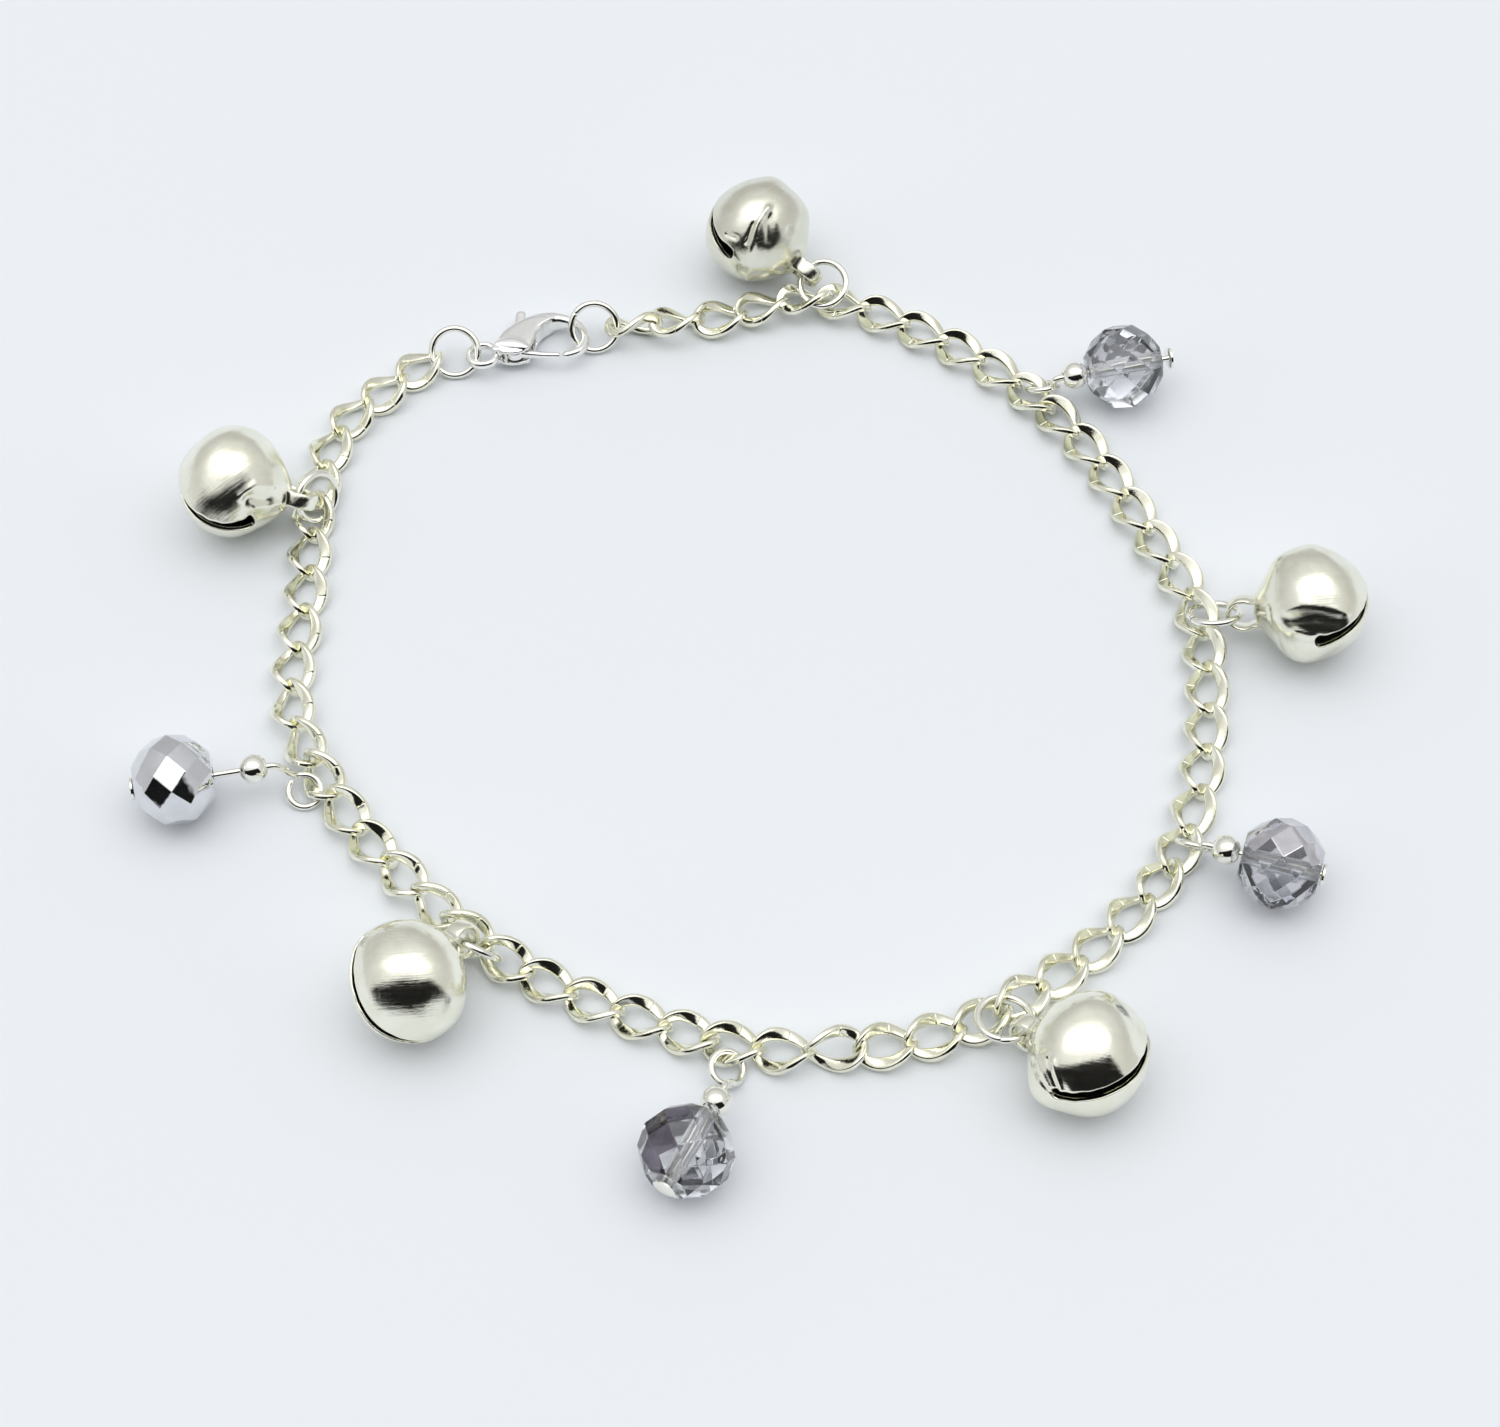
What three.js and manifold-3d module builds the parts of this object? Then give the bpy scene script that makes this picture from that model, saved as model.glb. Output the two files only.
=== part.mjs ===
// Bell anklet: a twisted curb chain closed by a lobster clasp, hung by turns with jingle bells on
// jump rings and faceted glass rondelles on head pins. It lies in a loop on a flat surface.
// Millimetres, +Z up. The origin is at the bottom centre of the whole object's box.
import * as THREE from 'three';
import { mergeVertices } from 'three/addons/utils/BufferGeometryUtils.js';
import { ConvexGeometry } from 'three/addons/geometries/ConvexGeometry.js';
import Module from 'manifold-3d';

const wasm = await Module();
wasm.setup();

// ---------- driving dimensions ----------
const LINK = { length: 5.45, width: 3.9, wire: 0.64, twist: 50 };
const BEARING = { joined: 0, open: 0.5 }; // play between links of one stretch, and of two
const RING = { radius: 2.2, wire: 0.64 };
const BELL = { radius: 5.1, squash: 0.9, wall: 0.45, slot: 0.8, slotHole: 0.95, slotEnd: 2 };
const BAIL = { reach: 6.15, outer: 1.6, inner: 1.1, width: 1.5, rootTop: 1.5, rootFoot: 1.9, rootTall: 1.3 };
const RATTLE = { radius: 1.4, gap: 0.45 };
const CRYSTAL = { radius: 4, halfLength: 3.3, belt: 1.35, shoulder: 2.4, sides: 8, drill: 0.6 };
const SPACER = { radius: 1.25, drill: 0.6 };
const PIN = { wire: 0.6, loop: 1.4, bend: 1.3, head: 1, headThick: 0.35 };
const CLASP = { leaf: 2.4, arm: 0.9, slot: 1.5, lever: 0.9, pin: 0.25, hole: 0.5, hub: 0.85 };
const EYE = { radius: 1.35, wire: 0.7, reach: 3.05 };

// Flats round each shape, and steps along it.
const FLATS = {
  link: 12, ring: 16, ringWire: 5, bell: 16, bellRows: 10, hollow: 12, hollowRows: 6, bail: 12,
  bore: 8, root: 10, ball: 10, ballRows: 6, wire: 6, neck: 5, shank: 8, head: 14, hub: 12, hubHole: 10,
};
const ROUTE_DIVISIONS = 2000; // steps that the route's length is measured in
const SETTLE_PASSES = 8; // times that links and bells are set down again, as each move tilts them a little
const THROUGH = 1; // how much longer a cutter is than what it cuts
const JOIN = 0.05; // how far two joined wires run into each other

const SILVER = { color: 0xd9d8d0, roughness: 0.25, metalness: 1 };
const GLASS = { color: 0xaeb0bd, roughness: 0.08, metalness: 0.3 };

// The route of the chain on the surface, from the ring at the clasp's eye round to its hook.
const ROUTE = [
  { x: -31.0, y: 34.0 }, { x: -37.3, y: 27.5 }, { x: -39.4, y: 20.5 }, { x: -39.7, y: 8.0 },
  { x: -39.9, y: -4.0 }, { x: -37.0, y: -11.0 }, { x: -29.5, y: -21.0 }, { x: -20.5, y: -29.0 },
  { x: -9.0, y: -34.5 }, { x: 3.0, y: -37.5 }, { x: 17.0, y: -35.5 }, { x: 28.0, y: -28.5 },
  { x: 36.0, y: -19.0 }, { x: 39.5, y: -7.0 }, { x: 39.5, y: 6.0 }, { x: 35.5, y: 16.0 },
  { x: 29.0, y: 27.5 }, { x: 20.0, y: 36.0 }, { x: 7.0, y: 42.0 }, { x: -5.0, y: 39.5 },
  { x: -15.0, y: 38.0 },
];

// Links in each stretch of chain. A fitting hangs on the first link of each stretch but the first.
const STRETCHES = [5, 7, 5, 6, 6, 5, 6, 7, 6, 5];

// Where the chain has turned over on itself: the roll of these links, straight between them.
const ROLLS = [
  { link: 0, roll: 0 }, { link: 9, roll: 0 }, { link: 11, roll: 32 }, { link: 12, roll: 35 },
  { link: 14, roll: 0 }, { link: 16, roll: 42 }, { link: 17, roll: 45 }, { link: 19, roll: 0 },
  { link: 24, roll: 0 }, { link: 25, roll: 50 }, { link: 26, roll: 12 }, { link: 28, roll: 6 },
  { link: 29, roll: 24 }, { link: 31, roll: 0 }, { link: 37, roll: 0 }, { link: 39, roll: -28 },
  { link: 40, roll: -22 }, { link: 42, roll: 0 }, { link: 51, roll: 0 }, { link: 52, roll: 8 },
  { link: 53, roll: 26 }, { link: 55, roll: 0 }, { link: 57, roll: 55 },
];

// The fittings, each on the first link of a stretch. along and out place the wire in the link's hole.
// A bell's ring goes off from there by heading and rise and leans over. swing is how far round the
// ring the bell hangs, aim the way it points, pull how far from the middle of the bail the ring
// bears, and turn the angle between the bail and the slot.
const BELLS = [
  { on: 2, along: 0.45, out: -0.1, heading: 76, rise: 43, lean: 58,
    swing: 94, aim: 171, pull: -0.15, turn: -48 },
  { on: 4, along: -0.1, out: 0.6, heading: -47, rise: 27, lean: -58,
    swing: -81, aim: 229, pull: -0.15, turn: 48 },
  { on: 6, along: -0.55, out: -0.35, heading: -112, rise: 10, lean: 2,
    swing: 71, aim: -35, pull: 0.2, turn: -1 },
  { on: 8, along: 0.7, out: 0.05, heading: -39, rise: 25, lean: -21,
    swing: 34, aim: -5, pull: 0.35, turn: -18 },
  { on: 10, along: -0.3, out: -0.55, heading: 47, rise: 22, lean: 8,
    swing: 91, aim: 146, pull: -0.15, turn: -38 },
];

// A pin's loop is turned by lean and dips below its link. ball, bead and head are the steps along
// the pin from the loop.
const PINS = [
  { on: 3, along: -0.1, out: 0.57, heading: 191, dip: -38, lean: 154, ball: 3.9, bead: 6.7, head: 3.5 },
  { on: 5, along: 0.2, out: 0.68, heading: 242, dip: 9, lean: -27, ball: 4.2, bead: 4.9, head: 3.7 },
  { on: 7, along: 0.86, out: 0.02, heading: -17, dip: 45, lean: 121, ball: 2.7, bead: 4.65, head: 3.7 },
  { on: 9, along: 0.9, out: 0.46, heading: 13, dip: 23, lean: 140, ball: 2.55, bead: 4.7, head: 4.3 },
];

// Clasp: its pivot above the surface, the way its nose points, and its roll. Its outlines are in the
// clasp's own plane, from the pivot: x towards the nose, y away from the gate.
const CLASP_PLACE = { x: -22.1, y: 35.5, z: 1.65, heading: 8, roll: -7 };
const LEAF = [
  [-1.8, -0.35], [-0.9, -0.9], [0.1, -1.05], [0.9, -0.85], [1.5, -0.2], [2.1, 1.15], [3, 2.5],
  [4.2, 3.2], [4.3, 3.75], [2.7, 3.75], [0.6, 3.2], [-0.95, 1.95], [-1.8, 0.5],
];
const ARM = [
  [2.3, 3.6], [3.4, 4.05], [4.4, 4.1], [5.3, 3.85], [6.2, 3.25], [6.8, 2.45], [7.12, 1.5],
  [7.14, 0.45], [6.8, -0.5], [6.1, -1.2], [5.2, -1.54], [4.4, -1.5], [4.4, -0.95], [5.1, -0.75],
  [5.7, -0.5], [6.08, -0.1], [6.34, 0.55], [6.34, 1.35], [6.1, 2.15], [5.6, 2.75], [4.7, 3.02],
  [3.8, 2.8], [2.6, 2.3],
];
const LEVER_SLOT = [
  [-1.15, -1.9], [3.2, -1.9], [3.2, 2.35], [1.15, 1.2], [1, 1.35], [1.6, 4.5], [-2.3, 4.5], [-1.15, 0.9],
];
const GATE = [[-0.1, 0.35], [0.8, -0.05], [4.2, -0.92], [4.15, -1.35], [0.7, -0.65], [-0.1, -0.45]];
const TAB = [[-0.6, 0.2], [0.35, 4.3], [0.6, 5.1], [1.1, 5.3], [1.5, 5], [1.42, 4.2], [0.6, 0.1]];
const CLASP_RINGS = [
  { name: 'clasp_ring_left', x: -27.75, y: 35.4, z: 1.75, heading: -3, tilt: 39 },
  { name: 'clasp_ring_right', x: -14.71, y: 38.3, z: 1.92, heading: 5, tilt: 45 },
];

// ---------- helpers ----------
const Z = new THREE.Vector3(0, 0, 1);
const radians = THREE.MathUtils.degToRad;

/** Unit vector from a heading in plan and a rise above the surface, in degrees. */
function direction(heading, rise = 0) {
  const flat = Math.cos(radians(rise));
  return new THREE.Vector3(
    flat * Math.cos(radians(heading)), flat * Math.sin(radians(heading)), Math.sin(radians(rise)));
}

/** Frame with its origin, its local x along one direction and its local z as near up as it can be. */
function frame(origin, along, up) {
  const x = along.clone().normalize();
  const y = new THREE.Vector3().crossVectors(up, x).normalize();
  const z = new THREE.Vector3().crossVectors(x, y);
  return new THREE.Matrix4().makeBasis(x, y, z).setPosition(origin);
}

/** Closed solid of a geometry, for joining and cutting. */
function solid(geometry, matrix) {
  const bare = geometry.clone();
  bare.deleteAttribute('normal');
  bare.deleteAttribute('uv');
  if (matrix) bare.applyMatrix4(matrix);
  const merged = mergeVertices(bare, 1e-4);
  return new wasm.Manifold(new wasm.Mesh({
    numProp: 3,
    vertProperties: new Float32Array(merged.attributes.position.array),
    triVerts: new Uint32Array(merged.index.array),
  }));
}

/** Geometry of a joined or cut solid. */
function geometryOf(manifold) {
  const { vertProperties, triVerts } = manifold.getMesh();
  const geometry = new THREE.BufferGeometry();
  geometry.setAttribute('position', new THREE.BufferAttribute(vertProperties, 3));
  geometry.setIndex(new THREE.BufferAttribute(triVerts, 1));
  geometry.computeVertexNormals();
  return geometry;
}

/** A joined solid less the tiny sealed voids between wires that cross. */
function withoutVoids(manifold) {
  return wasm.Manifold.compose(manifold.decompose().filter((body) => body.volume() > 0));
}

const anklet = new THREE.Group();

/** Add a named piece, placed by a matrix. */
function addPiece(name, geometry, look, matrix = new THREE.Matrix4()) {
  const mesh = new THREE.Mesh(geometry, new THREE.MeshStandardMaterial(look));
  mesh.name = name;
  mesh.applyMatrix4(matrix);
  anklet.add(mesh);
}

// ---------- chain ----------
/** One oval link with a square-ground section, twisted about its long axis, x. */
function linkGeometry() {
  const halfLength = (LINK.length - LINK.wire) / 2;
  const halfWidth = (LINK.width - LINK.wire) / 2;
  const corner = LINK.wire / 2 / Math.cos(Math.PI / 4);
  const mould = { radius: 2, wire: 1, corners: 4 };
  const geometry = new THREE.TorusGeometry(mould.radius, mould.wire, mould.corners, FLATS.link);
  const position = geometry.attributes.position;
  for (let i = 0; i < position.count; i += 1) {
    const round = Math.atan2(position.getY(i), position.getX(i));
    const out = Math.hypot(position.getX(i), position.getY(i)) - mould.radius;
    const up = position.getZ(i);
    const outward = corner * (out - up) * Math.SQRT1_2;
    const upward = corner * (out + up) * Math.SQRT1_2;
    const normal = new THREE.Vector2(halfWidth * Math.cos(round), halfLength * Math.sin(round)).normalize();
    const x = halfLength * Math.cos(round) + outward * normal.x;
    const y = halfWidth * Math.sin(round) + outward * normal.y;
    const turn = -radians(LINK.twist) * x / halfLength;
    position.setXYZ(i, x,
      y * Math.cos(turn) - upward * Math.sin(turn), y * Math.sin(turn) + upward * Math.cos(turn));
  }
  return geometry;
}

/** Roll of a link, read from the short table of turned places. */
function rollOf(link) {
  const after = ROLLS.findIndex((row) => row.link >= link);
  const b = ROLLS[Math.max(after, 0)];
  const a = ROLLS[Math.max(after - 1, 0)];
  return b.link === a.link ? b.roll : THREE.MathUtils.mapLinear(link, a.link, b.link, a.roll, b.roll);
}

/** Lowest point of a link's geometry once a matrix has placed it. */
function lowestPoint(geometry, matrix) {
  const position = geometry.attributes.position;
  const point = new THREE.Vector3();
  let lowest = Infinity;
  for (let i = 0; i < position.count; i += 1) {
    lowest = Math.min(lowest, point.fromBufferAttribute(position, i).applyMatrix4(matrix).z);
  }
  return lowest;
}

const firstLinks = STRETCHES.map((_, i) => STRETCHES.slice(0, i).reduce((sum, n) => sum + n, 0));

/** Matrix of every link: spaced along the route, resting on the surface. */
function placeLinks() {
  const route = new THREE.CatmullRomCurve3(
    ROUTE.map((point) => new THREE.Vector3(point.x, point.y, 0)), false, 'centripetal');
  route.arcLengthDivisions = ROUTE_DIVISIONS;
  const total = route.getLength();
  const hang = LINK.length - 2 * LINK.wire;
  const count = STRETCHES.reduce((sum, n) => sum + n, 0);
  const centres = [];
  let along = 0;
  for (let link = 0; link < count; link += 1) {
    if (link > 0) along += firstLinks.includes(link) ? hang - BEARING.open : hang + BEARING.joined;
    centres.push(route.getPointAt(along / total));
  }
  const shape = linkGeometry();
  const placed = () => centres.map((centre, link) => {
    const before = centres[Math.max(link - 1, 0)];
    const after = centres[Math.min(link + 1, count - 1)];
    const ahead = new THREE.Vector3().subVectors(after, before);
    return frame(centre, ahead, Z).multiply(new THREE.Matrix4().makeRotationX(radians(rollOf(link))));
  });
  for (let pass = 0; pass < SETTLE_PASSES; pass += 1) {
    placed().forEach((matrix, link) => {
      centres[link].z -= lowestPoint(shape, matrix);
    });
  }
  return placed();
}

const links = placeLinks();

function addChain() {
  const link = linkGeometry();
  STRETCHES.forEach((count, index) => {
    const first = firstLinks[index];
    const solids = links.slice(first, first + count).map((matrix) => solid(link, matrix));
    const joined = solids.reduce((all, next) => all.add(next));
    addPiece(`chain_${index + 1}`, geometryOf(withoutVoids(joined)), SILVER);
  });
}

// ---------- rings and bells ----------
/** Ring of round wire about its local z. */
function ringGeometry(radius, wire) {
  return new THREE.TorusGeometry(radius, wire / 2, FLATS.ringWire, FLATS.ring);
}

/** Jingle bell about its own centre: crown and bail on +z, slot through the far pole, turned by turn. */
function bellGeometry(turn) {
  const { radius, squash, wall } = BELL;
  const dome = (size, flats, rows) => new THREE.SphereGeometry(size, flats, rows)
    .rotateX(Math.PI / 2).scale(1, 1, squash);
  const outer = dome(radius, FLATS.bell, FLATS.bellRows);
  const inner = dome(radius - wall, FLATS.hollow, FLATS.hollowRows);
  const strap = new THREE.CylinderGeometry(BAIL.outer, BAIL.outer, BAIL.width, FLATS.bail);
  const eye = new THREE.CylinderGeometry(BAIL.inner, BAIL.inner, BAIL.width + THROUGH, FLATS.bore);
  const root = new THREE.CylinderGeometry(BAIL.rootTop, BAIL.rootFoot, BAIL.rootTall, FLATS.root)
    .rotateX(Math.PI / 2);
  strap.translate(0, 0, BAIL.reach);
  eye.translate(0, 0, BAIL.reach);
  root.translate(0, 0, radius * squash);
  const across = 2 * radius + THROUGH;
  const slotRise = radius * Math.sin(radians(BELL.slotEnd));
  const slotDepth = radius + THROUGH;
  const slot = new THREE.BoxGeometry(BELL.slot, across, slotRise + slotDepth);
  slot.translate(0, 0, (slotRise - slotDepth) / 2);
  const hole = new THREE.CylinderGeometry(BELL.slotHole, BELL.slotHole, across, FLATS.bore);
  hole.translate(0, 0, slotRise);
  const crown = solid(strap).add(solid(root)).subtract(solid(eye));
  const shell = solid(outer).add(crown).subtract(solid(inner));
  const spin = new THREE.Matrix4().makeRotationZ(radians(turn));
  return geometryOf(shell.subtract(solid(slot, spin)).subtract(solid(hole, spin)));
}

/** Height of a bell's centre when it rests on the surface with its axis at a pitch, in degrees. */
function bellHeight(pitch) {
  return BELL.radius * Math.hypot(Math.cos(radians(pitch)), BELL.squash * Math.sin(radians(pitch)));
}

/** Point in the hole of a link where a fitting's wire passes through it. */
function holdPoint(linkMatrix, { along, out }) {
  return new THREE.Vector3(along, -out, 0).applyMatrix4(linkMatrix);
}

/** In-plane axes of a ring or loop: the way it goes off, and across that, leaning over. */
function loopAxes({ heading, lean }, rise) {
  const away = direction(heading, rise);
  const level = new THREE.Vector3().crossVectors(Z, away).normalize();
  const steep = new THREE.Vector3().crossVectors(away, level);
  const across = level.multiplyScalar(Math.cos(radians(lean)))
    .addScaledVector(steep, Math.sin(radians(lean)));
  return { away, across };
}

function addBell(index, fitting, linkMatrix) {
  const hold = holdPoint(linkMatrix, fitting);
  const { away, across } = loopAxes(fitting, fitting.rise);
  const ringCentre = hold.clone().addScaledVector(away, RING.radius);
  const ringFrame = new THREE.Matrix4().makeBasis(
    away, across, new THREE.Vector3().crossVectors(away, across)).setPosition(ringCentre);
  addPiece(`bell_ring_${index}`, ringGeometry(RING.radius, RING.wire), SILVER, ringFrame);

  const swing = radians(fitting.swing);
  const spoke = away.clone().multiplyScalar(Math.cos(swing)).addScaledVector(across, Math.sin(swing));
  const tangent = across.clone().multiplyScalar(Math.cos(swing)).addScaledVector(away, -Math.sin(swing));
  const eye = ringCentre.clone().addScaledVector(spoke, RING.radius);
  const reach = BAIL.reach + fitting.pull;
  let pitch = 0;
  for (let pass = 0; pass < SETTLE_PASSES; pass += 1) {
    pitch = THREE.MathUtils.radToDeg(Math.asin((bellHeight(pitch) - eye.z) / reach));
  }
  const aim = direction(fitting.aim, pitch);
  const centre = eye.clone().addScaledVector(aim, reach);
  const crown = aim.clone().negate();
  const bore = tangent.clone().addScaledVector(crown, -tangent.dot(crown)).normalize();
  const bellFrame = new THREE.Matrix4().makeBasis(
    new THREE.Vector3().crossVectors(bore, crown), bore, crown).setPosition(centre);
  addPiece(`bell_${index}`, bellGeometry(fitting.turn), SILVER, bellFrame);

  const drop = BELL.radius - BELL.wall - RATTLE.radius - RATTLE.gap;
  const seat = new THREE.Matrix4().setPosition(centre.x, centre.y, centre.z - drop);
  addPiece(`rattle_${index}`, new THREE.IcosahedronGeometry(RATTLE.radius, 1), SILVER, seat);
}

// ---------- crystals on head pins ----------
/** Distance from the axis of a point further along a facet that runs through two known points. */
function facetRadius(fromRadius, fromZ, toRadius, toZ, z) {
  return THREE.MathUtils.mapLinear(z, fromZ, toZ, fromRadius, toRadius);
}

/** Faceted rondelle about local x: a belt of upright rhombs, two rows of kites, and a flat table. */
function crystalGeometry() {
  const { radius, belt, shoulder, halfLength, sides } = CRYSTAL;
  const half = Math.cos(Math.PI / sides);
  const beltRadius = radius * half;
  const shoulderRadius = facetRadius(radius, 0, beltRadius * half, belt, shoulder);
  const tableRadius = facetRadius(beltRadius, belt, shoulderRadius * half, shoulder, halfLength);
  const rows = [
    { x: 0, r: radius, offset: 0.5 },
    { x: belt, r: beltRadius, offset: 0 },
    { x: shoulder, r: shoulderRadius, offset: 0.5 },
    { x: halfLength, r: tableRadius, offset: 0 },
  ];
  const points = [];
  for (const { x, r, offset } of rows) {
    for (let side = 0; side < sides; side += 1) {
      const angle = 2 * Math.PI * (side + offset) / sides;
      for (const end of x ? [-x, x] : [0]) {
        points.push(new THREE.Vector3(end, r * Math.sin(angle), r * Math.cos(angle)));
      }
    }
  }
  const drill = new THREE.CylinderGeometry(
    CRYSTAL.drill, CRYSTAL.drill, 2 * halfLength + THROUGH, FLATS.bore);
  return geometryOf(solid(new ConvexGeometry(points)).subtract(solid(drill.rotateZ(Math.PI / 2))));
}

function spacerGeometry() {
  const ball = new THREE.SphereGeometry(SPACER.radius, FLATS.ball, FLATS.ballRows);
  const drill = new THREE.CylinderGeometry(
    SPACER.drill, SPACER.drill, 2 * SPACER.radius + THROUGH, FLATS.bore);
  return geometryOf(solid(ball).subtract(solid(drill)).rotate([0, 0, 90]));
}

/** Wire along a curve, as a solid. */
function wireSolid(curve, wire, steps) {
  const round = Array.from({ length: FLATS.wire }, (_, i) => new THREE.Vector2(wire / 2, 0)
    .rotateAround(new THREE.Vector2(), 2 * Math.PI * i / FLATS.wire));
  return solid(new THREE.ExtrudeGeometry(
    new THREE.Shape(round), { steps, bevelEnabled: false, extrudePath: curve }));
}

/** Drum about local x, as a solid. */
function drumSolid(radius, from, to, sides) {
  const drum = new THREE.CylinderGeometry(radius, radius, to - from, sides);
  return solid(drum.rotateZ(-Math.PI / 2).translate((from + to) / 2, 0, 0));
}

function addPin(index, fitting, linkMatrix) {
  const hold = holdPoint(linkMatrix, fitting);
  const { away, across } = loopAxes(fitting, 0);
  const dip = radians(fitting.dip);
  const loopCentre = hold.clone().addScaledVector(away, PIN.loop * Math.cos(dip))
    .addScaledVector(across, PIN.loop * Math.sin(dip));
  const top = loopCentre.clone().addScaledVector(across, PIN.loop);
  const restHeight = CRYSTAL.radius * Math.cos(Math.PI / CRYSTAL.sides);
  const ball = top.clone().setZ(restHeight).addScaledVector(away, fitting.ball);
  const shankStart = -SPACER.radius - 3 * JOIN;
  const pinEnd = fitting.bead + fitting.head;

  const pinFrame = frame(ball, away, Z);
  const loopFrame = new THREE.Matrix4().makeBasis(
    away, across, new THREE.Vector3().crossVectors(away, across)).setPosition(loopCentre);
  const neckStart = ball.clone().addScaledVector(away, shankStart + JOIN);
  const neck = new THREE.CubicBezierCurve3(
    neckStart, neckStart.clone().addScaledVector(away, -PIN.bend),
    top.clone().addScaledVector(away, PIN.bend), top.clone().addScaledVector(away, -JOIN));
  const straight = drumSolid(PIN.wire / 2, shankStart, pinEnd + JOIN, FLATS.shank)
    .add(drumSolid(PIN.head, pinEnd, pinEnd + PIN.headThick, FLATS.head));
  const bent = wireSolid(neck, PIN.wire, FLATS.neck).add(solid(ringGeometry(PIN.loop, PIN.wire), loopFrame));
  addPiece(`headpin_${index}`, geometryOf(straight.transform(pinFrame.elements).add(bent)), SILVER);
  addPiece(`spacer_${index}`, spacerGeometry(), SILVER, pinFrame);
  addPiece(`crystal_${index}`, crystalGeometry(), GLASS,
    frame(ball.clone().addScaledVector(away, fitting.bead), away, Z));
}

// ---------- clasp ----------
/** Flat plate from the points of its outline, centred on the clasp's own plane, as a solid. */
function plate(points, thickness) {
  const shape = new THREE.Shape(points.map(([x, y]) => new THREE.Vector2(x, y)));
  const geometry = new THREE.ExtrudeGeometry(shape, { depth: thickness, bevelEnabled: false });
  return solid(geometry.translate(0, 0, -thickness / 2));
}

function addClasp() {
  const { x, y, z, heading, roll } = CLASP_PLACE;
  const place = new THREE.Matrix4().makeRotationZ(radians(heading))
    .multiply(new THREE.Matrix4().makeRotationX(radians(roll))).setPosition(x, y, z);
  const drum = (radius, thickness, sides) => solid(
    new THREE.CylinderGeometry(radius, radius, thickness, sides).rotateX(Math.PI / 2));
  const eye = solid(ringGeometry(EYE.radius, EYE.wire).translate(-EYE.reach, 0, 0));
  const body = plate(LEAF, CLASP.leaf).subtract(plate(LEVER_SLOT, CLASP.slot))
    .add(plate(ARM, CLASP.arm)).add(eye).add(drum(CLASP.pin, CLASP.leaf, FLATS.shank));
  addPiece('clasp_body', geometryOf(body), SILVER, place);
  const lever = plate(GATE, CLASP.lever).add(plate(TAB, CLASP.lever))
    .add(drum(CLASP.hub, CLASP.lever, FLATS.hub))
    .subtract(drum(CLASP.hole, CLASP.lever + THROUGH, FLATS.hubHole));
  addPiece('clasp_lever', geometryOf(lever), SILVER, place);
}

addChain();
addClasp();
BELLS.forEach((fitting, i) => addBell(i + 1, fitting, links[firstLinks[fitting.on - 1]]));
PINS.forEach((fitting, i) => addPin(i + 1, fitting, links[firstLinks[fitting.on - 1]]));
for (const ring of CLASP_RINGS) {
  const along = direction(ring.heading);
  const up = new THREE.Vector3().crossVectors(along, direction(ring.heading + 90, ring.tilt));
  const ringFrame = new THREE.Matrix4().makeBasis(
    along, new THREE.Vector3().crossVectors(up, along), up).setPosition(ring.x, ring.y, ring.z);
  addPiece(ring.name, ringGeometry(RING.radius, RING.wire), SILVER, ringFrame);
}

export default anklet;
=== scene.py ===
"""Looks of the bell anklet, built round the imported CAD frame.

Shape tables are in millimetres, in the row frame; meshes are made in metres. Every piece is built
in its own local frame and placed by the same rules as the CAD part.
"""
import math

import bmesh
import bpy
import numpy as np
from mathutils import Matrix, Vector, noise


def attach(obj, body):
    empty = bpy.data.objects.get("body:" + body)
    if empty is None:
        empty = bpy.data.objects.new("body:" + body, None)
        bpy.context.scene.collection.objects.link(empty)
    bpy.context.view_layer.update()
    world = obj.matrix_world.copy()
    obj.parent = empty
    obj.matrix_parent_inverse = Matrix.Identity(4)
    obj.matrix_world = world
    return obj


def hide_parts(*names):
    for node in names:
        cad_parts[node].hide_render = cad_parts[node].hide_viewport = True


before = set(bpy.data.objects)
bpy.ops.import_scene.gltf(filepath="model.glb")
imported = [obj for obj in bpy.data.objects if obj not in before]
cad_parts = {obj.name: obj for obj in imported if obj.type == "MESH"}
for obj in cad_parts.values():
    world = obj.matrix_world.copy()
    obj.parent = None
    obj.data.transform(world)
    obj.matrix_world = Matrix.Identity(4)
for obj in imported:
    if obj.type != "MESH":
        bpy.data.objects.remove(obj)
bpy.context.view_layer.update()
MM = 0.001
UP = np.array([0.0, 0.0, 1.0])
VIEW_RISE = 57  # degrees above the surface that the camera looks from
SETTLES = 8  # times that a link is lowered, or a bell tipped, until it rests on the surface

# ---- dimensions, as in the CAD part ----
LINK = {"length": 5.45, "width": 3.9, "wire": 0.64, "twist": 50, "play": 0.5}
RING = {"radius": 2.2, "wire": 0.64}
BELL = {"radius": 5.1, "squash": 0.9, "wall": 0.45}
BAIL = {"reach": 6.15, "loop": 1.35, "width": 1.5, "thick": 0.5}
RATTLE = {"radius": 1.4, "gap": 0.45}
CRYSTAL = {"radius": 4, "half": 3.3, "belt": 1.35, "shoulder": 2.4, "sides": 8, "drill": 0.6}
SPACER = {"radius": 1.25, "drill": 0.45}
PIN = {"wire": 0.6, "loop": 1.4, "bend": 1.3, "head": 1, "head_thick": 0.35}

# Middle line of the chain in plan.
ROUTE = (
    (-31, 34), (-37.3, 27.5), (-39.4, 20.5), (-39.7, 8), (-39.9, -4), (-37, -11), (-29.5, -21),
    (-20.5, -29), (-9, -34.5), (3, -37.5), (17, -35.5), (28, -28.5), (36, -19), (39.5, -7),
    (39.5, 6), (35.5, 16), (29, 27.5), (20, 36), (7, 42), (-5, 39.5), (-15, 38),
)
# Links in each stretch of chain, and its first link.
STRETCHES = (5, 7, 5, 6, 6, 5, 6, 7, 6, 5)
FIRSTS = [sum(STRETCHES[:i]) for i in range(len(STRETCHES))]
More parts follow.
